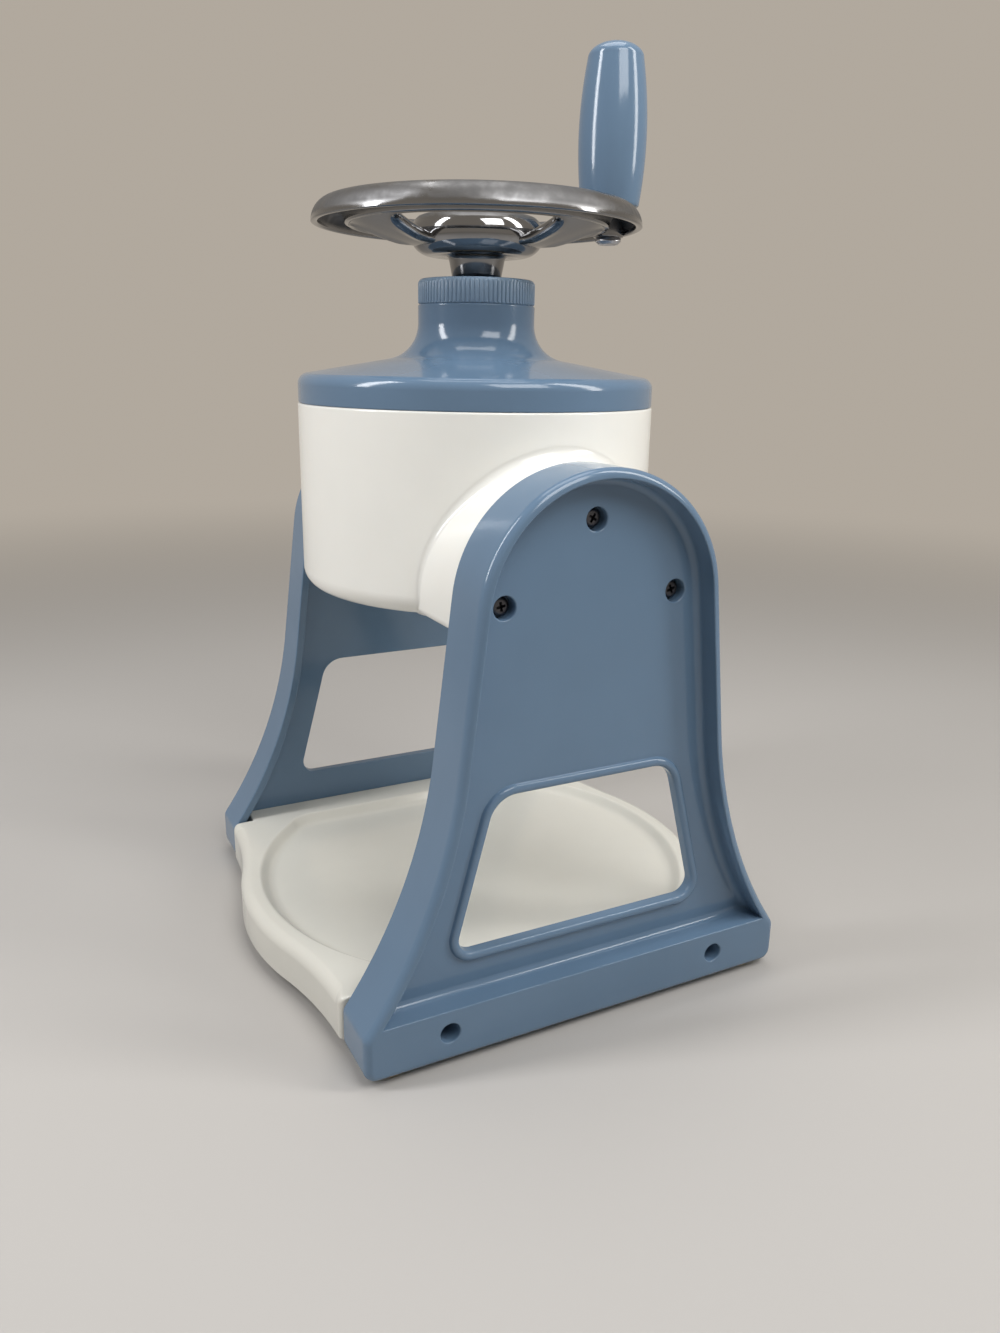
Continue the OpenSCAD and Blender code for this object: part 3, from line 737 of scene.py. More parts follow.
def tidy_mesh(mesh: bpy.types.Mesh, crease: float, outwards: bool = True) -> None:
    """Merges doubles, turns faces outwards and sets smooth shading.

    Args:
        mesh: the mesh.
        crease: edges that turn by more degrees than this stay sharp.
        outwards: recalculates the normals.
    """
    work = bmesh.new()
    work.from_mesh(mesh)
    bmesh.ops.remove_doubles(work, verts=work.verts, dist=2e-6)
    bmesh.ops.dissolve_degenerate(work, edges=work.edges, dist=1e-7)
    if outwards:
        bmesh.ops.recalc_face_normals(work, faces=work.faces)
    work.to_mesh(mesh)
    work.free()
    smooth(mesh, crease)


def add_area_normals(piece: bpy.types.Object) -> None:
    """Lets large faces rule the shading of a piece."""
    normals = piece.modifiers.new("even_shading", "WEIGHTED_NORMAL")
    normals.mode, normals.weight, normals.keep_sharp = "FACE_AREA", 60, True


def drop(piece: bpy.types.Object) -> None:
    """Removes a helper object and its mesh."""
    spare = piece.data
    bpy.data.objects.remove(piece)
    bpy.data.meshes.remove(spare)


def cut(piece: bpy.types.Object, cutter: bpy.types.Object, crease: float = 35.0) -> None:
    """Cuts one solid out of another and removes the cutter.

    Args:
        piece: the solid that is cut.
        cutter: the solid that is taken away.
        crease: edges that turn by more degrees than this stay sharp.
    """
    modifier = piece.modifiers.new("cut", "BOOLEAN")
    modifier.operation, modifier.object, modifier.solver = "DIFFERENCE", cutter, "EXACT"
    bake(piece)
    drop(cutter)
    smooth(piece.data, crease)


def bake(piece: bpy.types.Object) -> None:
    """Turns a piece's modifiers into its plain mesh.

    Args:
        piece: the piece.
    """
    bpy.context.view_layer.update()
    graph = bpy.context.evaluated_depsgraph_get()
    made = bpy.data.meshes.new_from_object(piece.evaluated_get(graph), depsgraph=graph)
    old = piece.data
    piece.modifiers.clear()
    piece.data = made
    made.name = piece.name
    bpy.data.meshes.remove(old)


def join(piece: bpy.types.Object, other: bpy.types.Object) -> None:
    """Adds another piece's mesh to a piece.

    Args:
        piece: the piece that stays.
        other: the piece that goes into it.
    """
    work = bmesh.new()
    work.from_mesh(piece.data)
    work.from_mesh(other.data)
    work.to_mesh(piece.data)
    work.free()
    drop(other)


def hand_over(piece: bpy.types.Object, body: str, finish: Any, paint: Paint, *nodes: str) -> bpy.types.Object:
    """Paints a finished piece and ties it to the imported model.

    Args:
        piece: the piece.
        body: body that it rides on.
        finish: its finish.
        paint: maker of the materials.
        nodes: nodes that it stands for.

    Returns:
        The piece.
    """
    piece.data.materials.clear()
    piece.data.materials.append(paint.of(finish))
    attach(piece, body)
    if nodes:
        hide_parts(*nodes)
    LOG.info("%s: %d faces on %s", piece.name, len(piece.data.polygons), body)
    return piece


# ---------------------------------------------------------------- node trees for repeats


class RepeatTree:
    """Geometry Nodes trees for what repeats or follows a path."""

    def __init__(self, name: str, inputs: Sequence[tuple[str, str]]) -> None:
        """Starts a tree.

        Args:
            name: the tree's name.
            inputs: name and socket type of each named input.
        """
        self.tree = bpy.data.node_groups.new(name, "GeometryNodeTree")
        self.sockets: dict[str, str] = {}
        face = self.tree.interface
        face.new_socket("Geometry", in_out="INPUT", socket_type="NodeSocketGeometry")
        for label, kind in inputs:
            self.sockets[label] = face.new_socket(label, in_out="INPUT", socket_type=kind).identifier
        face.new_socket("Geometry", in_out="OUTPUT", socket_type="NodeSocketGeometry")
        self.source = self.tree.nodes.new("NodeGroupInput")

    def add(self, kind: str, links: dict[Any, Any],
            settings: Optional[dict[str, Any]] = None) -> bpy.types.Node:
        """Adds one node.

        Args:
            kind: the node's type.
            links: input name to an input name of the tree, a socket or a value.
            settings: its properties, set first.

        Returns:
            The node.
        """
        node = self.tree.nodes.new(kind)
        for key, value in (settings or {}).items():
            setattr(node, key, value)
        for key, value in links.items():
            target = node.inputs[key]
            if isinstance(value, str) and value in self.source.outputs.keys():
                self.tree.links.new(self.source.outputs[value], target)
            elif isinstance(value, bpy.types.NodeSocket):
                self.tree.links.new(value, target)
            else:
                target.default_value = value
        return node

    def close(self, shapes: bpy.types.NodeSocket) -> None:
        """Realizes the instances, paints them and closes the tree.

        Args:
            shapes: socket of the shapes.
        """
        real = self.add("GeometryNodeRealizeInstances", {"Geometry": shapes})
        painted = self.add("GeometryNodeSetMaterial", {"Geometry": real.outputs[0], "Material": "Finish"})
        out = self.tree.nodes.new("NodeGroupOutput")
        self.tree.links.new(painted.outputs[0], out.inputs[0])

    def run(self, piece: bpy.types.Object, values: dict[str, Any], crease: float = 35.0) -> bpy.types.Object:
        """Runs the tree on a piece and keeps the result as its plain mesh.

        Args:
            piece: object that carries the points or the path.
            values: value of each named input.
            crease: edges that turn by more degrees than this stay sharp.

        Returns:
            The piece.
        """
        modifier = piece.modifiers.new(self.tree.name, "NODES")
        modifier.node_group = self.tree
        for label, value in values.items():
            modifier[self.sockets[label]] = value
        bake(piece)
        smooth(piece.data, crease)
        return piece


def scatter_tree() -> RepeatTree:
    """Tree that puts a shape on points, each turned by the point's own angles.

    Returns:
        The tree.
    """
    made = RepeatTree("shape_on_points", [("Shape", "NodeSocketObject"), ("Scale", "NodeSocketFloat"),
                                          ("Finish", "NodeSocketMaterial")])
    shape = made.add("GeometryNodeObjectInfo", {"Object": "Shape"})
    turn = made.add("GeometryNodeInputNamedAttribute", {"Name": "turn"}, {"data_type": "FLOAT_VECTOR"})
    spin = made.add("FunctionNodeEulerToRotation", {0: turn.outputs[0]})
    put = made.add("GeometryNodeInstanceOnPoints",
                   {"Points": "Geometry", "Instance": shape.outputs["Geometry"],
                    "Rotation": spin.outputs[0], "Scale": "Scale"})
    made.close(put.outputs[0])
    return made


def ring_tree() -> RepeatTree:
    """Tree that repeats a shape round a ring, facing outwards.

    Returns:
        The tree.
    """
    made = RepeatTree("shape_round_ring", [("Shape", "NodeSocketObject"), ("Count", "NodeSocketInt"),
                                           ("Radius", "NodeSocketFloat"), ("Finish", "NodeSocketMaterial")])
    shape = made.add("GeometryNodeObjectInfo", {"Object": "Shape"})
    ring = made.add("GeometryNodeMeshCircle", {"Vertices": "Count", "Radius": "Radius"})
    place = made.add("GeometryNodeInputPosition", {})
    face = made.add("FunctionNodeAlignRotationToVector", {"Vector": place.outputs[0]},
                    {"axis": "X", "pivot_axis": "Z"})
    put = made.add("GeometryNodeInstanceOnPoints",
                   {"Points": ring.outputs[0], "Instance": shape.outputs["Geometry"],
                    "Rotation": face.outputs[0]})
    made.close(put.outputs[0])
    return made


def wire_tree() -> RepeatTree:
    """Tree that sweeps a round wire along a path.

    Returns:
        The tree.
    """
    made = RepeatTree("wire_along_path", [("Wire Radius", "NodeSocketFloat"), ("Sides", "NodeSocketInt"),
                                          ("Finish", "NodeSocketMaterial")])
    path = made.add("GeometryNodeMeshToCurve", {"Mesh": "Geometry"})
    loop = made.add("GeometryNodeCurvePrimitiveCircle", {"Resolution": "Sides", "Radius": "Wire Radius"},
                    {"mode": "RADIUS"})
    wire = made.add("GeometryNodeCurveToMesh", {"Curve": path.outputs[0], "Profile Curve": loop.outputs[0],
                                                "Fill Caps": True})
    made.close(wire.outputs[0])
    return made


def point_cloud(name: str, places: Sequence[Sequence[float]],
                turns: Sequence[Sequence[float]]) -> bpy.types.Object:
    """Object whose vertices are places in millimetres with a turn each.

    Args:
        name: the object's name.
        places: the points.
        turns: rotation of each point in degrees.

    Returns:
        The object.
    """
    mesh = bpy.data.meshes.new(name)
    mesh.from_pydata([tuple(c * MM for c in p) for p in places], [], [])
    turn = mesh.attributes.new("turn", "FLOAT_VECTOR", "POINT")
    turn.data.foreach_set("vector", np.radians(np.array(turns, float)).ravel())
    return show(name, mesh)


# ---------------------------------------------------------------- stands


@dataclass
class Stand:
    """Bell-shaped stand: rounded rim, recessed panel, beaded window, flush foot bar and screw holes."""

    side: Side
    face_x: float = 88.0
    edge_x: float = 68.5
    panel_x: float = 79.9
    back_x: float = 77.1
    post_x: float = 73.1
    seat_x: float = 75.1
    foot_seat_x: float = 79.1
    pad_h: float = 2.0
    arch_z: float = 137.3
    arch_r: float = 41.0
    taper: float = 7.0
    flank_r: float = 165.0
    foot_y: float = 76.8
    foot_end_h: float = 14.7
    foot_bar_h: float = 17.7
    foot_r: float = 4.0
    rim_wall: float = 3.0
    rim_r: float = 2.6
    edge_soft: float = 0.5
    lip_soft: float = 0.38
    draft: float = 0.35
    fillet: float = 2.2
    back_fillet: float = 1.5
    inner_soft: float = 0.3
    soft: float = 1.6
    bead_w: float = 3.0
    bead_h: float = 1.5
    window: tuple[float, float, float, float] = (32.8, 82.5, 45.0, 31.6)
    window_radii: tuple[float, float, float, float] = (5.0, 5.0, 9.0, 9.0)
    pocket_r: float = 3.5
    foot_pocket_r: float = 3.2
    screw_hole_r: float = 2.0
    eye: tuple[float, float] = (0.0, 57.0)

    def __post_init__(self) -> None:
        """Works out the flank and the directions of the mesh."""
        lean = math.radians(self.taper)
        out, down = np.array([math.cos(lean), math.sin(lean)]), np.array([math.sin(lean), -math.cos(lean)])
        top = np.array([0, self.arch_z]) + self.arch_r * out
        tip = np.array([self.foot_y, self.pad_h + self.foot_end_h])
        high, along = float((tip - top) @ out), float((tip - top) @ down)
        reach = math.sqrt(2 * high * self.flank_r - high * high)
        self.flank_c = top + (along - reach) * down + self.flank_r * out
        bar = self.pad_h + self.foot_bar_h
        rim_in = self.flank_r + self.rim_wall
        inner = self.flank_c[0] - math.sqrt(rim_in ** 2 - (bar - self.flank_c[1]) ** 2)
        corners = [(self.foot_y - 2, self.pad_h + 2), (self.foot_y, self.pad_h + self.foot_end_h),
                   (inner - 1, bar + 1)]
        busy = []
        for y, z in corners:
            turn = self.bearing(y, z)
            busy += [(turn, 3.2, 0.16), (-180 - turn, 3.2, 0.16)]
        low, high, wide, narrow = self.window
        for y, z in ((wide - 3, low + 3), (narrow - 3, high - 3)):
            turn = self.bearing(y, z)
            busy += [(turn, 9, 0.6), (180 - turn, 9, 0.6)]
        self.turns = spread(420, busy)

    def bearing(self, y: float, z: float) -> float:
        """Direction from the eye to a place, in degrees."""
        return math.degrees(math.atan2(z - self.eye[1], y - self.eye[0]))

    def bell(self, inset: float) -> np.ndarray:
        """Outline moved inwards.

        Args:
            inset: distance inwards.

        Returns:
            Its distance from the eye in every direction.
        """
        y, z = self.foot_y - inset, self.pad_h + inset
        corner = max(self.foot_r - inset, 0.3)
        low = 360 - math.degrees(math.acos((y - self.flank_c[0]) / (self.flank_r + inset)))
        half = np.vstack([[[0.0, z]], arc((y - corner, z + corner), corner, -90, 0, 14),
                          arc(self.flank_c, self.flank_r + inset, low, 180 + self.taper, 90),
                          arc((0, self.arch_z), self.arch_r - inset, self.taper, 90, 90)])
        return polar(softened(mirrored(half), self.soft, 0.2), self.eye, self.turns)

    def recess(self, more: float) -> np.ndarray:
        """Outline of the outer recess above the foot bar.

        Args:
            more: distance inwards from the rim wall.

        Returns:
            Its distance from the eye in every direction.
        """
        bar = self.eye[1] - (self.pad_h + self.foot_bar_h + more)
        with np.errstate(divide="ignore", invalid="ignore"):
            line = np.where(np.sin(self.turns) < -0.01, bar / -np.sin(self.turns), 1e6)
        return np.minimum(self.bell(self.rim_wall + more), line)

    def opening(self, grow: float) -> np.ndarray:
        """Outline of the window grown outwards.

        Args:
            grow: distance outwards.

        Returns:
            Its distance from the eye in every direction.
        """
        low, high, wide, narrow = self.window
        slope = (wide - narrow) / (high - low)
        out = grow / math.cos(math.atan(slope))
        half_low, half_high = wide + slope * grow + out, narrow - slope * grow + out
        corners = [(-half_low, low - grow), (half_low, low - grow),
                   (half_high, high + grow), (-half_high, high + grow)]
        line = rounded(corners, [r + grow for r in self.window_radii])
        return polar(dense(line, 0.2), self.eye, self.turns)

    def loop(self, radius: np.ndarray, x: float) -> np.ndarray:
        """Loop of points at one depth."""
        return np.column_stack([np.full(len(radius), x * self.side.value),
                                self.eye[0] + radius * np.cos(self.turns),
                                self.eye[1] + radius * np.sin(self.turns)])

    def skin_loops(self) -> list[np.ndarray]:
        """Loops from the inner edge over the rim and the panel, through the window and back.

        Returns:
            The loops in order.
        """
        quarter = np.radians(np.linspace(0, 90, 6))
        loops = []
        for t in quarter:
            loops.append(self.loop(self.bell(self.edge_soft * (1 - math.sin(t))),
                                   self.edge_x + self.edge_soft * (1 - math.cos(t))))
        for t in np.radians(np.linspace(0, 90, 9)):
            loops.append(self.loop(self.bell(self.rim_r * (1 - math.cos(t))),
                                   self.face_x - self.rim_r * (1 - math.sin(t))))
        for t in quarter:
            loops.append(self.loop(self.recess(-self.lip_soft * (1 - math.sin(t))),
                                   self.face_x - self.lip_soft * (1 - math.cos(t))))
        for t in np.radians(np.linspace(0, 90, 8)):
            loops.append(self.loop(self.recess(self.draft + self.fillet * (1 - math.cos(t))),
                                   self.panel_x + self.fillet * (1 - math.sin(t))))
        for rise, grow in ((0.0, 0.5), (0.12, 0.12)):
            loops.append(self.loop(self.opening(self.bead_w + grow), self.panel_x + rise))
        for t in np.radians(np.linspace(14, 172, 11)):
            loops.append(self.loop(self.opening(self.bead_w / 2 * (1 + math.cos(t))),
                                   self.panel_x + self.bead_h * math.sin(t) ** 0.8))
        for t in quarter:
            loops.append(self.loop(self.opening(self.edge_soft * (1 - math.cos(t))),
                                   self.back_x + self.edge_soft * (1 - math.sin(t))))
        for t in quarter[::-1]:
            loops.append(self.loop(self.bell(self.rim_wall + self.back_fillet * (1 - math.cos(t))),
                                   self.back_x - self.back_fillet * (1 - math.sin(t))))
        for t in quarter:
            loops.append(self.loop(self.bell(self.rim_wall - self.inner_soft * (1 - math.cos(t))),
                                   self.edge_x + self.inner_soft * (1 - math.sin(t))))
        return loops

    def build(self, paint: Paint) -> bpy.types.Object:
        """Makes the stand.

        Args:
            paint: maker of the materials.

        Returns:
            The piece.
        """
        name = f"{self.side.name.lower()}_stand"
        forge = Forge().skin(self.skin_loops(), ring=True)
        piece = forge.piece(f"{name}_moulding", 40)
        holes = Forge()
        hole, low, way = self.screw_hole_r, self.back_x - 3, self.side.value
        wide, top = self.pocket_r, self.panel_x
        for spot in HOPPER_SCREWS:
            holes.lathe([(0, low), (wide, low), (wide, top - 0.5), (wide + 0.15, top - 0.2),
                         (wide + 0.5, top), (wide + 0.5, top + 1), (0, top + 1)], 40,
                        sideways(way, *spot), False)
        wide, top = self.foot_pocket_r, self.face_x
        for spot in FOOT_SCREWS:
            holes.lathe([(0, low), (hole, low), (hole, self.foot_seat_x), (wide, self.foot_seat_x),
                         (wide, top - 0.5), (wide + 0.15, top - 0.2), (wide + 0.5, top),
                         (wide + 0.5, top + 1), (0, top + 1)], 40, sideways(way, *spot), False)
        cut(piece, holes.piece("holes"), 40)
        posts = Forge()
        wide, top = self.pocket_r, self.back_x + 0.6
        for spot in HOPPER_SCREWS:
            posts.lathe([(hole, self.post_x), (5.1, self.post_x), (5.5, self.post_x + 0.4), (5.5, top),
                         (wide, top), (wide, self.seat_x), (hole, self.seat_x)], 40, sideways(way, *spot))
        join(piece, posts.piece("posts", 40))
        add_area_normals(piece)
        return hand_over(piece, Body.FRAME.value, paint.blue, paint, name)


# ---------------------------------------------------------------- tray


@dataclass
class Tray:
    """Base tray: bowed front and back, clipped round dish, hollow underside, tongues into the stands."""

    bow_r: float = 95.0
    half_d: float = 88.0
    half_w: float = 77.5
    end_x: float = 67.5
    hollow_x: float = 68.5
    tongue_y: float = 69.0
    tongue_x: float = 77.1
    top: float = 19.5
    skirt: float = 4.5
    tongue_low: float = 5.0
    wall: float = 3.0
    edge_r: float = 4.0
    dish_r: float = 77.5
    dish_x: float = 60.5
    dish_depth: float = 3.5
    pilot_r: float = 1.8
    boss_r: float = 4.0
    boss_in: float = 65.4
    boss_out: float = 76.0

    def __post_init__(self) -> None:
        """Works out the directions and the outlines of the mesh."""
        busy = []
        for x, y, half, step in ((self.end_x, self.half_w, 2.0, 0.12), (self.end_x, self.tongue_y, 1.2, 0.1),
                                 (self.tongue_x, self.tongue_y, 1.2, 0.1), (self.dish_x, 50.0, 5.0, 0.5)):
            turn = math.degrees(math.atan2(y, x))
            busy += [(a, half, step) for a in (turn, -turn, 180 - turn, turn - 180)]
        self.turns = spread(400, busy)
        self.insets = np.linspace(0, 5, 21)
        self.table = np.array([self.outline(i) for i in self.insets])

    def outline(self, inset: float) -> np.ndarray:
        """Plan of the tray moved inwards.

        Args:
            inset: distance inwards.

        Returns:
            Its distance from the axis in every direction.
        """
        half, end, drop_y = self.half_w - inset, self.end_x - inset, self.half_d - self.half_w
        reach = (self.hollow_x ** 2 + drop_y ** 2) / (2 * drop_y)
        hollow, meet = reach - self.bow_r + inset, math.degrees(math.asin(self.hollow_x / reach))
        soft = max(2.0 - inset, 0.25)
        side = arc((self.hollow_x, half + hollow), hollow, 270 - meet, 270, 40)
        quarter = np.vstack([arc((0, self.half_d - self.bow_r), self.bow_r - inset, 90, 90 - meet, 40),
                             side[side[:, 0] < end - soft][1:],
                             arc((end - soft, half - soft), soft, 90, 0, 8),
                             [[end, self.tongue_y - inset], [self.tongue_x - inset, self.tongue_y - inset],
                              [self.tongue_x - inset, 0.0]]])
        half_plan = np.vstack([quarter, quarter[::-1][1:] * [1, -1]])
        return polar(dense(mirrored(half_plan), 0.1), (0, 0), self.turns)

    def plan(self, inset: Union[float, np.ndarray]) -> np.ndarray:
        """Plan at an inset that may change with the direction.

        Args:
            inset: distance inwards, one for all directions or one for each.

        Returns:
            Its distance from the axis in every direction.
        """
        pitch = self.insets[1] - self.insets[0]
        place = np.broadcast_to(np.asarray(inset, float), self.turns.shape) / pitch
        low = np.clip(place.astype(int), 0, len(self.insets) - 2)
        pick = np.arange(len(self.turns))
        return self.table[low, pick] * (1 - (place - low)) + self.table[low + 1, pick] * (place - low)

    def dish(self, grow: float) -> np.ndarray:
        """Plan of the dish grown outwards, with softened corners.

        Args:
            grow: distance outwards.

        Returns:
            Its distance from the axis in every direction.
        """
        line = (self.dish_x + grow) / np.maximum(np.abs(np.cos(self.turns)), 1e-6)
        round_part = np.full_like(line, self.dish_r + grow)
        share = np.clip(0.5 + (line - round_part) / 12.0, 0, 1)
        return line * (1 - share) + round_part * share - 3.0 * share * (1 - share)

    def loop(self, radius: np.ndarray, z: Union[float, np.ndarray]) -> np.ndarray:
        """Loop of points at one height."""
        return np.column_stack([radius * np.cos(self.turns), radius * np.sin(self.turns),
                                np.broadcast_to(np.asarray(z, float), radius.shape)])

    def build(self, paint: Paint) -> bpy.types.Object:
        """Makes the tray.

        Args:
            paint: maker of the materials.

        Returns:
            The piece.
        """
        acute = np.degrees(np.arctan2(np.abs(np.sin(self.turns)), np.abs(np.cos(self.turns))))
        low = np.where(acute < 46.5, self.tongue_low, self.skirt)
        edge = np.interp(acute, [46.0, 48.2, 50.6], [0.6, 0.8, self.edge_r])
        under = self.top - self.dish_depth - self.wall
        loops = [self.loop(np.full(len(self.turns), r), under) for r in (0.0, 30.0, 55.0)]
        skirt = ((self.wall + 1.0, under), (self.wall, under - 1.0), (self.wall, low + 0.5),
                 (self.wall - 0.5, low), (0.6, low), (0.2, low + 0.2), (0.0, low + 0.6))
        loops += [self.loop(self.plan(inset), z) for inset, z in skirt]
        for t in np.radians(np.linspace(0, 90, 9)):
            loops.append(self.loop(self.plan(edge * (1 - math.cos(t))), self.top - edge * (1 - math.sin(t))))
        top, floor = self.top, self.top - self.dish_depth
        for grow, z in ((4.0, top), (3.6, top - 0.05), (3.2, top - 0.22), (2.8, top - 0.55), (2.2, top - 1.2),
                        (1.4, floor + 1.45), (0.8, floor + 0.85), (0.1, floor + 0.4), (-0.8, floor + 0.13),
                        (-1.8, floor + 0.02), (-2.6, floor), (-12.0, floor)):
            loops.append(self.loop(self.dish(grow), z))
        loops += [self.loop(np.full(len(self.turns), r), floor) for r in (40.0, 20.0, 0.0)]
        piece = Forge().skin(loops).piece("base_tray_moulding", 40)
        bosses = Forge()
        for way in (1, -1):
            for spot in FOOT_SCREWS:
                bosses.lathe([(self.pilot_r, self.boss_in), (self.boss_r, self.boss_in),
                              (self.boss_r, self.boss_out), (self.pilot_r, self.boss_out)], 32,
                             sideways(way, *spot))
        join(piece, bosses.piece("tray_bosses", 40))
        add_area_normals(piece)
        return hand_over(piece, Body.FRAME.value, paint.tray, paint, "base_tray")


# ---------------------------------------------------------------- hopper


@dataclass
class Hopper:
    """White hopper: round chamber with a blade slot, and arched side bosses blended into it."""

    radius: float = 60.2
    wall: float = 3.0
    low: float = 130.0
    high: float = 191.6
    floor: float = 3.5
    edge_r: float = 6.5
    boss_r: float = 40.4
    boss_x: float = 68.5
    arch_z: float = 137.3
    post_x: float = 73.1
    blend_top: float = 4.4
    blend_side: float = 2.4
    slot: tuple[float, float, float, float] = (3.0, 51.0, -6.0, 12.864)
    blade_seat: Spots = ((12.864, 131.0), (20.234, 131.0), (20.234, 126.918), (12.864, 129.6))
    post_in: float = 53.0
    post_r: float = 5.0
    pilot_r: float = 1.8
    pilot_depth: float = 9.5

    def skin_radius(self, z: np.ndarray) -> np.ndarray:
        """Radius of the outer skin at a height."""
        drop = np.clip(self.low + self.edge_r - z, 0, self.edge_r)
        return self.radius - self.edge_r + np.sqrt(self.edge_r ** 2 - drop ** 2)

    def chamber(self) -> Forge:
        """Turned chamber with its floor.

        Returns:
            The forge that holds it.
        """
        inner, lip = self.radius - self.wall, 0.7
        edge = (self.radius - self.edge_r, self.low + self.edge_r)
        profile = np.vstack([[[0, self.low], [30, self.low]], arc(edge, self.edge_r, -90, 0, 14),
                             [[self.radius, 150], [self.radius, 172]],
                             arc((self.radius - lip, self.high - lip), lip, 0, 90, 5),
                             arc((inner + lip, self.high - lip), lip, 90, 180, 5),
                             [[inner, 160]], arc((inner - 3, self.low + self.floor + 3), 3, 0, -90, 7),
                             [[30, self.low + self.floor], [0, self.low + self.floor]]])
        return Forge().lathe(profile, 224, ring=False)

    def boss_section(self) -> tuple[np.ndarray, np.ndarray]:
        """Cross section of a boss.

        Returns:
            Points and outward normals, first along Y and then along Z.
        """
        corner, drop_z = 3.3, self.arch_z - self.low - 3.3
        side = math.sqrt((self.boss_r - corner) ** 2 - drop_z ** 2)
        start = -math.degrees(math.asin(drop_z / (self.boss_r - corner)))
        half = np.vstack([np.column_stack([np.linspace(0, side, 12, endpoint=False), np.full(12, self.low)]),
                          arc((side, self.low + corner), corner, -90, start, 12)[:-1],
                          arc((0, self.arch_z), self.boss_r, start, 90, 68)])
        line = mirrored(half)
        return line, outward(line)

    def boss(self, forge: Forge, way: int) -> None:
        """Adds one boss with the blend into the chamber.

        Args:
            forge: forge that takes it.
            way: 1 for the right boss and -1 for the left one.
        """
        line, normal = self.boss_section()

        def loop(x: Union[float, np.ndarray], inset: float) -> np.ndarray:
            """Section moved inwards at a place along X."""
            yz = line - inset * normal
            return np.column_stack([np.broadcast_to(x, len(yz)), yz[:, 0], yz[:, 1]])

        rise = np.clip(normal[:, 1], 0, 1)
        step = np.clip((line[:, 1] - self.low - 1.0) / 7.0, 0, 1)
        ease = step * step * (3 - 2 * step)
        radius = 0.8 + (self.blend_side - 0.8) * ease + (self.blend_top - self.blend_side) * rise
        centre = line + radius[:, None] * normal
        skin = self.skin_radius(np.maximum(centre[:, 1], self.low + 0.05))
        reach = skin + radius
        cx = np.sqrt(np.maximum(reach ** 2 - centre[:, 0] ** 2, 1.0))
        first = np.column_stack([np.zeros(len(line)), -normal])
        last = -np.column_stack([cx / reach, centre[:, 0] / reach, np.zeros(len(line))])
        angle = np.arccos(np.clip((first * last).sum(1), -1, 1))
        middle = np.column_stack([cx, centre])
        inner = np.sqrt(np.maximum((self.radius - 1.0) ** 2 - (line[:, 0] - 3 * normal[:, 0]) ** 2, 1.0))
        loops = [loop(inner, 3.0), loop(self.boss_x - 0.3, 3.0), loop(self.boss_x, 2.7),
                 loop(self.boss_x, 0.8)]
        for t in np.radians(np.linspace(15, 90, 5)):
            loops.append(loop(self.boss_x - 0.8 * (1 - math.cos(t)), 0.8 * (1 - math.sin(t))))
        loops.append(loop(np.minimum(cx + 0.01, self.boss_x - 0.81), 0.0))
        for s in np.linspace(0.08, 1, 13):
            near, far = (np.sin(part * angle)[:, None] for part in (1 - s, s))
            share = (near * first + far * last) / np.sin(angle)[:, None]
            loops.append(middle + radius[:, None] * share)
        sunk = loops[-1].copy()
        sunk[:, :2] *= ((skin - 1.2) / skin)[:, None]
        loops.append(sunk)
        forge.skin([p * [way, 1, 1] for p in loops], ring=True)

    def build(self, paint: Paint) -> bpy.types.Object:
        """Makes the hopper.

        Args:
            paint: maker of the materials.

        Returns:
            The piece.
        """
        piece = self.chamber().piece("hopper_moulding", 38)
        x0, x1, y0, y1 = self.slot
        plan = rounded([(x0, y0), (x1, y0), (x1, y1), (x0, y1)], [1.5] * 4, 6)
        levels = (self.low - 9, self.low + 12)
        slot = Forge().skin([np.column_stack([plan, np.full(len(plan), z)]) for z in levels],
                            caps=True).piece("slot")
        cut(piece, slot, 38)
        extra = Forge()
        self.boss(extra, 1)
        self.boss(extra, -1)
        seat = np.array(self.blade_seat)
        extra.skin([np.column_stack([np.full(4, x), seat]) for x in (2.0, 52.0)], caps=True)
        end, wide, pilot = self.post_x, self.post_r, self.pilot_r
        post = [(0, self.post_in), (wide, self.post_in), (wide, end - 0.4), (wide - 0.4, end), (pilot, end),
                (pilot, end - self.pilot_depth), (0, end - self.pilot_depth)]
        for way in (1, -1):
            for spot in HOPPER_SCREWS:
                extra.lathe(post, 36, sideways(way, *spot), False)
        join(piece, extra.piece("hopper_sides", 38))
        add_area_normals(piece)
        return hand_over(piece, Body.FRAME.value, paint.white, paint, "hopper")


# ---------------------------------------------------------------- lid and neck


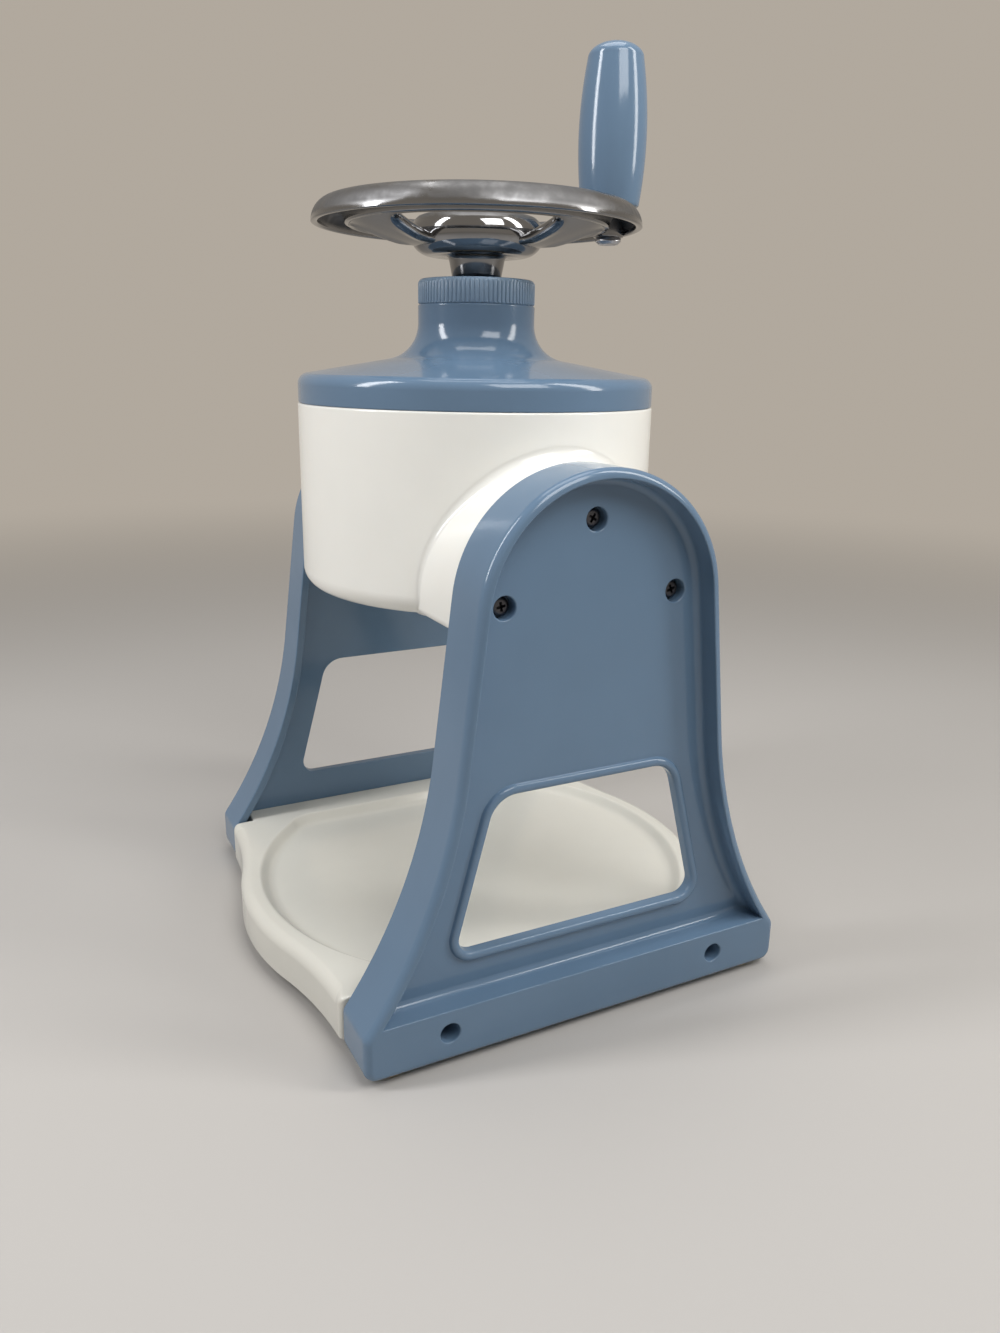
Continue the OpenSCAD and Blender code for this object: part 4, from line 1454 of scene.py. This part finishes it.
@dataclass
class Lid:
    """Blue lid: upright band, rounded edge, cone, filleted neck, and the ribbed cap on its spigot."""

    radius: float = 60.0
    seat: float = 191.6
    band: float = 5.9
    edge_r: float = 3.7
    slope: float = 10.0
    neck_r: float = 19.6
    neck_z: float = 223.4
    fillet: float = 11.8
    wall: float = 3.0
    ring_out: float = 56.9
    ring_in: float = 53.9
    spigot_r: float = 16.0
    bush_r: float = 12.03
    bush_seat: float = 228.4
    bush_low: float = 215.9
    pocket_r: float = 15.5
    cap_h: float = 8.0
    ribs: int = 84

    def shell(self) -> np.ndarray:
        """Profile of the lid.

        Returns:
            Radius and height of each point.
        """
        lean = math.radians(self.slope)
        edge = np.array([self.radius - self.edge_r, self.seat + self.band])
        top = edge + self.edge_r * np.array([math.sin(lean), math.cos(lean)])
        middle = (self.neck_r + self.fillet, top[1] + (top[0] - self.neck_r - self.fillet) * math.tan(lean)
                  + self.fillet / math.cos(lean))

        def under(r: float) -> float:
            """Height of the underside of the cone."""
            return top[1] + (top[0] - r) * math.tan(lean) - self.wall / math.cos(lean)

        return np.vstack([[[self.ring_out, self.seat], [self.radius - 0.5, self.seat],
                           [self.radius - 0.15, self.seat + 0.15], [self.radius, self.seat + 0.5]],
                          arc(edge, self.edge_r, 0, 90 - self.slope, 14),
                          arc(middle, self.fillet, 270 - self.slope, 180, 16),
                          arc((self.neck_r - 0.5, self.neck_z - 0.5), 0.5, 0, 90, 4),
                          [[self.spigot_r, self.neck_z], [self.spigot_r, self.bush_seat],
                           [self.bush_r, self.bush_seat], [self.bush_r, self.bush_low],
                           [self.pocket_r, self.bush_low],
                           [self.pocket_r, under(self.pocket_r)], [self.ring_in, under(self.ring_in)],
                           [self.ring_in, self.seat - 5.6], [self.ring_in + 0.4, self.seat - 6],
                           [self.ring_out - 0.6, self.seat - 6], [self.ring_out, self.seat - 5.4]]])

    def cap(self, paint: Paint, rings: RepeatTree) -> bpy.types.Object:
        """Makes the ribbed cap.

        Args:
            paint: maker of the materials.
            rings: tree that repeats a shape round a ring.

        Returns:
            The piece.
        """
        low, high, out = self.neck_z + 0.02, self.neck_z + self.cap_h, self.neck_r - 0.42
        body = Forge().lathe(np.vstack([
            [[self.spigot_r + 0.05, low], [out - 0.3, low], [out, low + 0.3]],
            arc((out - 0.9, high - 0.9), 0.9, 0, 90, 6),
            [[11.2, high], [10.8, high - 0.4], [10.8, high - 1.3], [15.3, high - 1.3], [15.3, high - 3.0],
             [self.spigot_r + 0.05, high - 3.0]]]), 168)
        rib = Forge()
        heights = [low + 0.3, low + 0.6, high - 1.4, high - 0.8, high - 0.3]
        sizes = [0.35, 1.0, 1.0, 0.85, 0.4]
        tilt = [0.0, 0.0, 0.0, -0.15, -0.5]
        section = arc((0, 0), 0.5, -90, 90, 6) * [0.6, 1.15]
        loops = []
        for z, size, back in zip(heights, sizes, tilt):
            flat = np.vstack([section * size, [[-0.6, 0.57 * size], [-0.6, -0.57 * size]]])
            loops.append(np.column_stack([flat[:, 0] + back, flat[:, 1], np.full(len(flat), z)]))
        shape = rib.skin(loops, caps=True).piece("rib", 50)
        ring = show("ribs", bpy.data.meshes.new("ribs"))
        rings.run(ring, {"Shape": shape, "Count": self.ribs, "Radius": (out + 0.02) * MM,
                         "Finish": paint.of(paint.grip)}, 50)
        piece = body.piece("neck_cap_ribbed", 38)
        join(piece, ring)
        drop(shape)
        return hand_over(piece, Body.LID.value, paint.grip, paint, "neck_cap")

    def build(self, paint: Paint, rings: RepeatTree) -> None:
        """Makes the lid and its cap.

        Args:
            paint: maker of the materials.
            rings: tree that repeats a shape round a ring.
        """
        piece = Forge().lathe(self.shell(), 224).piece("lid_moulding", 38)
        add_area_normals(piece)
        hand_over(piece, Body.LID.value, paint.blue, paint, "lid")
        self.cap(paint, rings)


# ---------------------------------------------------------------- crank


@dataclass
class CrankWheel:
    """Chromed wheel: hollow bull-nosed rim, dished web with three kidney openings, bulged hub, knob boss."""

    level: float = 247.5
    radius: float = 54.0
    rim_w: float = 13.0
    rim_h: float = 7.3
    rim_t: float = 2.2
    lift: float = 17.2
    web_t: float = 3.0
    lip_r: float = 2.1
    spoke_start: float = 34.0
    spoke_sweep: float = 40.0
    hole_in: float = 19.6
    hole_out: float = 40.0
    hub_bore: float = 4.03
    boss_bore: float = 5.03
    knob_angle: float = 82.0
    knob_bore: float = 2.55
    eye: float = 31.5
    dish: tuple[tuple[float, float], ...] = ((16, -6.9), (22, -6.1), (28, -4.9), (34, -3.2),
                                             (38.2, -1.2), (42.2, 0.3))

    def web_z(self, r: np.ndarray) -> np.ndarray:
        """Height of the underside of the web at a radius."""
        places = np.array(self.dish)
        return np.polyval(np.polyfit(places[:, 0], places[:, 1], 3), np.clip(r, 15, 43))

    def web(self, forge: Forge) -> None:
        """Adds the dished web with its openings.

        Args:
            forge: forge that takes it.
        """
        inner, outer, half = 18.0, 42.3, 60.0
        across, ahead = math.sin(math.radians(half)), math.cos(math.radians(half))
        corner = [math.degrees(math.atan2(r * across, r * ahead - self.eye)) for r in (inner, outer)]
        turns = spread(120, [(a * s, 0.4, 0.4) for a in corner for s in (1, -1)])
        sector = np.vstack([arc((0, 0), outer, -half, half, 240), arc((0, 0), inner, half, -half, 120)])
        edge = polar(dense(sector, 0.05), (self.eye, 0), turns)
        open_half = 60 - self.spoke_sweep / 2
        kidney = np.vstack([arc((0, 0), self.hole_out, -open_half, open_half, 60),
                            arc((0, 0), self.hole_in, open_half, -open_half, 40)])
        kidney = softened(kidney, 7.0, 0.2)
        out, lip = outward(kidney), self.lip_r
        hole = [polar(kidney + out * d, (self.eye, 0), turns) for d in np.linspace(0, lip, 9)]

        def flat(distance: np.ndarray) -> np.ndarray:
            """Places in the wheel plane."""
            return np.column_stack([self.eye + distance * np.cos(turns), distance * np.sin(turns)])

        def sheet(share: float, swell: float, lift: float) -> np.ndarray:
            """Loop on one face of the web, between its outer edge and the bead of the opening."""
            xy = flat(edge * (1 - share) + hole[-1] * share)
            return np.column_stack([xy, self.web_z(np.hypot(xy[:, 0], xy[:, 1])) + lift + swell * fat])

        more = lip - self.web_t / 2
        near = flat(hole[0])
        fat = np.clip((np.hypot(near[:, 0], near[:, 1]) - 22.0) / 4.0, -0.6, 1)
        faces = ((0.0, 0.0), (0.5, 0.0), (0.72, 0.12 * more), (0.88, 0.6 * more), (1.0, more))
        loops = [sheet(share, -swell, 0.0) for share, swell in faces]
        grown = flat(hole[-1])
        level = self.web_z(np.hypot(grown[:, 0], grown[:, 1])) + self.web_t / 2
        for t in np.radians(np.linspace(0, 180, 13)[1:-1]):
            xy = flat(hole[0] + (hole[-1] - hole[0]) * (1 - math.sin(t)))
            loops.append(np.column_stack([xy, level - (self.web_t / 2 + more * fat) * math.cos(t)]))
        loops += [sheet(share, swell, self.web_t) for share, swell in faces[::-1]]
        rim = flat(edge)
        away = np.hypot(rim[:, 0], rim[:, 1])
        on_arc = (np.abs(away - outer) < 0.02) | (np.abs(away - inner) < 0.02)
        count = len(turns)
        for k in range(3):
            spin = math.radians(self.spoke_start + 60 + 120 * k)
            c, s = math.cos(spin), math.sin(spin)
            matrix = np.array([[c, s, 0], [-s, c, 0], [0, 0, 1]])
            forge.skin([p @ matrix + [0, 0, self.level] for p in loops], ring=True,
                       keep=lambda i: bool(on_arc[i] and on_arc[(i + 1) % count]))

    def rim(self, forge: Forge) -> None:
        """Adds the hollow rim with rounded lips.

        Args:
            forge: forge that takes it.
        """
        mid, half = self.radius - self.rim_w / 2, self.rim_w / 2
        turn = np.radians(np.linspace(4, 176, 26))
        outer = np.column_stack([mid + half * np.cos(turn), self.rim_h * np.sin(turn)])
        turn = np.radians(np.linspace(172, 8, 20))
        inner = np.column_stack([mid + (half - self.rim_t) * np.cos(turn),
                                 (self.rim_h - self.rim_t) * np.sin(turn)])
        lip, lip_z = self.rim_t / 2, 0.42
        left, right = (arc((mid + way * (half - lip), lip_z), lip, 190, 350, 8) for way in (-1, 1))
        for edge in (left, right):
            edge[:, 1] = np.maximum(edge[:, 1], lip_z + (edge[:, 1] - lip_z) * 0.38)
        profile = np.vstack([outer, left, inner, right]) + [0, self.level]
        forge.lathe(profile, 240)

    def hub(self, forge: Forge) -> None:
        """Adds the hub and the boss of the knob.

        Args:
            forge: forge that takes them.
        """
        profile = np.vstack([[[self.boss_bore, -self.lift], [7.3, -self.lift], [7.75, -self.lift + 0.15],
                              [7.95, -self.lift + 0.6], [9.2, -10.2], [9.55, -9.3], [10.2, -8.85]],
                             arc((15.5, -2.3), 6.5, -90, 42, 18),
                             [[19.4, 2.9], [18.2, 3.35], [17.0, 3.5], [10.0, 3.5], [4.5, 3.5],
                              [self.hub_bore, 3.1], [self.hub_bore, -self.lift + 5.6],
                              [self.boss_bore, -self.lift + 5.6]]])
        forge.lathe(profile + [0, self.level], 160)
        mid, turn = self.radius - self.rim_w / 2, math.radians(self.knob_angle)
        place = Matrix.Translation((mid * math.cos(turn), mid * math.sin(turn), self.level))
        forge.lathe([(self.knob_bore, -0.6), (4.7, -0.6), (5.05, -0.45), (5.2, -0.1), (5.2, 7.3), (4.8, 7.8),
                     (self.knob_bore, 7.8)], 48, place)

    def build(self, paint: Paint) -> bpy.types.Object:
        """Makes the wheel.

        Args:
            paint: maker of the materials.

        Returns:
            The piece.
        """
        forge = Forge()
        self.web(forge)
        self.rim(forge)
        self.hub(forge)
        piece = forge.piece("hand_wheel_plated", 38)
        return hand_over(piece, Body.CRANK.value, paint.chrome, paint, "hand_wheel")


@dataclass
class CrankKnob:
    """Blue barrel-shaped knob that turns on its screw."""

    reach: float = 47.5
    angle: float = 82.0
    low: float = 256.5
    height: float = 50.0
    radius: float = 11.45
    crown: float = 5.0
    bore: float = 2.55
    depth: float = 22.0

    def barrel(self, z: np.ndarray) -> np.ndarray:
        """Radius of the barrel at a height."""
        belly = 0.42 * self.height
        return self.radius - 1.65 * ((z - belly) / belly) ** 2

    def build(self, paint: Paint) -> bpy.types.Object:
        """Makes the knob.

        Args:
            paint: maker of the materials.

        Returns:
            The piece.
        """
        turn = math.radians(self.angle)
        place = Matrix.Translation((self.reach * math.cos(turn), self.reach * math.sin(turn), self.low))
        z = np.linspace(0.9, self.height - self.crown, 40)
        top = float(self.barrel(np.array([self.height - self.crown]))[0])
        swing = np.radians(np.linspace(0, 90, 16)[1:])
        dome = np.column_stack([top * np.cos(swing), self.height - self.crown * (1 - np.sin(swing))])
        dome[-1, 0] = 0.0
        foot = float(self.barrel(np.array([0.9]))[0])
        profile = np.vstack([[[0, self.depth], [self.bore, self.depth], [self.bore, 0.4],
                              [self.bore + 0.4, 0], [foot - 1.0, 0], [foot - 0.45, 0.12],
                              [foot - 0.12, 0.45]],
                             np.column_stack([self.barrel(z), z]), dome])
        piece = Forge().lathe(profile, 112, place, False).piece("crank_knob_moulding", 38)
        return hand_over(piece, Body.KNOB.value, paint.blue, paint, "crank_knob")


# ---------------------------------------------------------------- small repeated pieces


@dataclass
class Fasteners:
    """Recessed cross-head screws of the stands and the soft pads under their feet."""

    seat_x: float = 75.1
    foot_seat_x: float = 79.1
    head_r: float = 2.9
    head_h: float = 2.4
    shank_r: float = 1.75
    length: float = 11.0
    pad_r: float = 6.5
    pad_h: float = 2.0
    pad_x: float = 78.25
    pad_y: float = 67.0

    def screw(self) -> bpy.types.Object:
        """Makes one screw along Z with a tapered cross recess.

        Returns:
            The screw.
        """
        shank, head, low = self.shank_r, self.head_r, -self.length
        thread = [[shank * (1.0 if k % 2 else 0.78), low + 2 + 0.55 * k] for k in range(14)]
        profile = np.vstack([[[0, low], [0.5, low], [shank * 0.75, low + 1.4]], thread,
                             [[shank, -0.4], [shank, 0], [head - 0.15, 0], [head, 0.2]],
                             arc((head - 1.3, 1.1), 1.3, 0, 90, 8), [[0, self.head_h]]])
        screw = Forge().lathe(profile, 40, ring=False).piece("screw", 40)
        for turn in (0.0, 90.0):
            wing = Forge()
            c, s = math.cos(math.radians(turn)), math.sin(math.radians(turn))
            spin = np.array([[c, s], [-s, c]])
            loops = []
            for z, long, wide in ((0.7, 0.7, 0.3), (self.head_h + 0.6, 1.75, 0.46)):
                flat = np.array([(-long, -wide), (long, -wide), (long, wide), (-long, wide)]) @ spin
                loops.append(np.column_stack([flat, np.full(4, z)]))
            cut(screw, wing.skin(loops, caps=True).piece("wing"), 40)
        return screw

    def build(self, paint: Paint, scatter: RepeatTree) -> None:
        """Makes the screws and the pads.

        Args:
            paint: maker of the materials.
            scatter: tree that puts a shape on points.
        """
        shape = self.screw()
        groups = (("hopper_screws", self.seat_x, HOPPER_SCREWS, 20.0),
                  ("base_screws", self.foot_seat_x, FOOT_SCREWS, 30.0))
        for node, x, spots, spin in groups:
            places = [(way * x, y, z) for way in (1, -1) for y, z in spots]
            turns = [(spin + 1.7 * y + 40 * way, way * 90) for way in (1, -1) for y, _ in spots]
            cloud = point_cloud(f"{node}_set", places, self.along_x(turns))
            scatter.run(cloud, {"Shape": shape, "Scale": 1.0, "Finish": paint.of(paint.dark)}, 40)
            hand_over(cloud, Body.FRAME.value, paint.dark, paint, node)
        drop(shape)
        wide, high = self.pad_r, self.pad_h
        pad = Forge().lathe([(0, 0), (wide - 0.7, 0), (wide - 0.2, 0.2), (wide, 0.7), (wide, high - 0.4),
                             (wide - 0.4, high), (0, high)], 48, ring=False).piece("pad", 50)
        places = [(sx * self.pad_x, sy * self.pad_y, 0) for sx in (1, -1) for sy in (1, -1)]
        cloud = point_cloud("foot_pads_set", places, [(0, 0, 0)] * 4)
        scatter.run(cloud, {"Shape": pad, "Scale": 1.0, "Finish": paint.of(paint.pad)}, 50)
        hand_over(cloud, Body.FRAME.value, paint.pad, paint, "foot_pads")
        drop(pad)

    @staticmethod
    def along_x(turns: Sequence[Sequence[float]]) -> list[tuple[float, float, float]]:
        """Euler angles that spin a shape about Z and then lay Z along X.

        Args:
            turns: spin and lay of each shape in degrees.

        Returns:
            The angles in degrees.
        """
        made = []
        for spin, lay in turns:
            matrix = Matrix.Rotation(math.radians(lay), 3, "Y") @ Matrix.Rotation(math.radians(spin), 3, "Z")
            made.append(tuple(math.degrees(a) for a in matrix.to_euler("XYZ")))
        return made


@dataclass
class PressSpring:
    """Coil spring of the ice press, with closed end curls."""

    radius: float = 11.0
    wire: float = 1.8
    low: float = 151.7
    high: float = 214.7
    rings: int = 76
    lead: int = 6
    travel: float = 44.0
    gap: float = 0.05
    per_turn: int = 8
    fine: int = 6

    def build(self, paint: Paint, wires: RepeatTree) -> bpy.types.Object:
        """Makes the spring.

        Args:
            paint: maker of the materials.
            wires: tree that sweeps a wire along a path.

        Returns:
            The piece.
        """
        rise = self.high - self.low - self.wire - 2 * self.gap
        flat = (self.wire + 0.5) * self.lead / self.per_turn
        steps = np.arange(self.rings * self.fine + 1) / self.fine
        height = np.interp(steps, [0, self.lead, self.rings - self.lead, self.rings],
                           [0, flat, rise - flat, rise])
        turn = steps * TAU / self.per_turn
        path = np.column_stack([self.radius * np.cos(turn), self.radius * np.sin(turn),
                                self.low + self.wire / 2 + self.gap + height]) * MM
        mesh = bpy.data.meshes.new("press_spring_coil")
        mesh.from_pydata(path.tolist(), [(i, i + 1) for i in range(len(path) - 1)], [])
        piece = show("press_spring_coil", mesh)
        wires.run(piece, {"Wire Radius": self.wire / 2 * MM, "Sides": 12,
                          "Finish": paint.of(paint.steel)}, 50)
        hand_over(piece, Body.LID.value, paint.steel, paint, "press_spring")
        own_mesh(piece)
        return piece


@dataclass
class InnerWorks:
    """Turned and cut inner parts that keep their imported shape, merged and smoothly shaded."""

    crease: float = 28.0

    def build(self, paint: Paint) -> None:
        """Dresses each part.

        Args:
            paint: maker of the materials.
        """
        parts = {"blade": paint.blade, "blade_clamp": paint.steel, "blade_screws": paint.dark,
                 "spindle_bush": paint.nylon, "spring_washer": paint.steel, "thrust_washer": paint.steel,
                 "spindle": paint.steel, "wheel_nut": paint.chrome, "ice_gripper": paint.nylon,
                 "gripper_spikes": paint.steel, "gripper_screw": paint.steel, "knob_washer": paint.steel,
                 "knob_screw": paint.steel}
        for node, finish in parts.items():
            source = frame["nodes"][node]
            body = next(name for name, empty in frame["bodies"].items() if empty == source.parent)
            mesh = source.data.copy()
            mesh.name = f"{node}_finished"
            piece = show(f"{node}_finished", mesh)
            tidy_mesh(mesh, self.crease, outwards=False)
            add_area_normals(piece)
            hand_over(piece, body, finish, paint, node)


# ---------------------------------------------------------------- studio


@dataclass
class PhotoCamera:
    """Camera at the photograph's place, in the frame of the object."""

    place_mm: tuple[float, float, float] = (325.24, -159.88, 206.50)
    yaw: float = -1.578
    pitch: float = -16.81
    roll: float = 0.971
    focal_px: float = 1018.07
    tall_px: float = 1333.0
    sensor_mm: float = 36.0

    def build(self) -> None:
        """Makes the camera and uses it."""
        x, y, _ = self.place_mm
        heading = math.atan2(-y, -x) + math.radians(self.yaw)
        pitch, roll = math.radians(self.pitch), math.radians(self.roll)
        level = math.cos(pitch)
        ahead = Vector((math.cos(heading) * level, math.sin(heading) * level, math.sin(pitch)))
        right = Vector((math.sin(heading), -math.cos(heading), 0))
        up = right.cross(ahead)
        across = right * math.cos(roll) + up * math.sin(roll)
        above = up * math.cos(roll) - right * math.sin(roll)
        data = bpy.data.cameras.new("photo_camera")
        data.sensor_width = self.sensor_mm
        data.lens = self.focal_px * self.sensor_mm / self.tall_px
        data.clip_start, data.clip_end = 0.01, 50
        camera = show("photo_camera", data)
        matrix = Matrix((across, above, -ahead)).transposed().to_4x4()
        matrix.translation = Vector(self.place_mm) * MM
        camera.matrix_world = matrix
        bpy.context.scene.camera = camera


@dataclass
class Studio:
    """Plain pale floor, soft lamps and a pale surround."""

    floor: Colour = (0.49, 0.47, 0.447)
    surround: Colour = (0.44, 0.395, 0.34)
    sky: Colour = (0.70, 0.68, 0.655)
    sky_level: float = 0.26
    reach: float = 6.0
    sides: int = 96
    fade: tuple[float, float] = (0.3, 1.25)
    aim: tuple[float, float, float] = (0.0, 0.0, 0.2)

    def floor_piece(self) -> None:
        """Makes the floor, which fades into the surround far from the object."""
        mesh = bpy.data.meshes.new("studio_floor")
        turn = np.linspace(0, TAU, self.sides, endpoint=False)
        ring = [(self.reach * math.cos(a), self.reach * math.sin(a), 0.0) for a in turn]
        mesh.from_pydata(ring, [], [tuple(range(self.sides))])
        piece = show("studio_floor", mesh)
        material, nodes = new_material("pale_floor")
        cloth = nodes.noise(3.0, 4, 0.5)
        colour = nodes.blend(cloth, tint(self.floor, 0.985), tint(self.floor, 1.015))
        shader = nodes.add("ShaderNodeBsdfPrincipled", None, {"Base Color": colour, "Roughness": 0.6})
        glow = nodes.add("ShaderNodeEmission", None, {"Color": self.surround, "Strength": 1.0})
        away = nodes.add("ShaderNodeVectorMath", {"operation": "LENGTH"}, {0: nodes.place()})
        far = Sock(nodes, away.outputs["Value"]).ramp(*self.fade)
        mix = nodes.add("ShaderNodeMixShader", None, {0: far, 1: shader.outputs[0], 2: glow.outputs[0]})
        nodes.add("ShaderNodeOutputMaterial", None, {"Surface": mix.outputs[0]})
        mesh.materials.append(material)

    def lamp(self, name: str, place: Sequence[float], size: tuple[float, float], watts: float,
             colour: Colour = (1, 1, 1)) -> None:
        """Makes one soft lamp aimed at the object.

        Args:
            name: the lamp's name.
            place: where it hangs, in metres.
            size: its width and height in metres.
            watts: its power.
            colour: its colour.
        """
        data = bpy.data.lights.new(name, "AREA")
        data.shape, data.size, data.size_y, data.energy, data.color = "RECTANGLE", *size, watts, colour
        lamp = show(name, data)
        lamp.location = place
        lamp.visible_camera = False
        lamp.rotation_euler = (Vector(self.aim) - Vector(place)).to_track_quat("-Z", "Y").to_euler()

    def build(self) -> None:
        """Makes the floor, the lamps and the surround."""
        self.floor_piece()
        self.lamp("right", (0.42, 0.54, 0.64), (0.16, 0.8), 3.6, (1.0, 0.985, 0.96))
        self.lamp("left", (-0.07, -0.52, 0.52), (0.11, 0.52), 2.7, (0.98, 0.985, 1.0))
        self.lamp("front", (0.42, 0.04, 0.60), (0.3, 0.3), 1.75)
        self.lamp("top", (-0.1, 0.05, 0.95), (0.5, 0.5), 2.2)
        world = bpy.data.worlds.new("surround")
        bpy.context.scene.world = world
        world.use_nodes = True
        nodes = NodeMaker(world.node_tree)
        seen = nodes.add("ShaderNodeBackground", None, {"Color": self.surround, "Strength": 1.0})
        light = nodes.add("ShaderNodeBackground", None, {"Color": self.sky, "Strength": self.sky_level})
        path = nodes.add("ShaderNodeLightPath")
        rays = ("Is Camera Ray", "Is Glossy Ray", "Is Transmission Ray")
        first, *others = (Sock(nodes, path.outputs[ray]) for ray in rays)
        direct = sum(others, first)
        mix = nodes.add("ShaderNodeMixShader", None, {0: direct, 1: light.outputs[0], 2: seen.outputs[0]})
        nodes.add("ShaderNodeOutputWorld", None, {"Surface": mix.outputs[0]})


def main() -> None:
    """Builds the object piece by piece, then the studio round it."""
    logging.basicConfig(level=logging.INFO, format="%(name)s %(message)s")
    scene = bpy.context.scene
    scene.view_settings.view_transform = "Standard"
    paint = Paint()
    scatter, rings, wires = scatter_tree(), ring_tree(), wire_tree()
    for side in Side:
        Stand(side).build(paint)
    Tray().build(paint)
    Hopper().build(paint)
    Lid().build(paint, rings)
    CrankWheel().build(paint)
    CrankKnob().build(paint)
    Fasteners().build(paint, scatter)
    PressSpring().build(paint, wires)
    InnerWorks().build(paint)
    PhotoCamera().build()
    Studio().build()


if __name__ == "__main__":
    main()
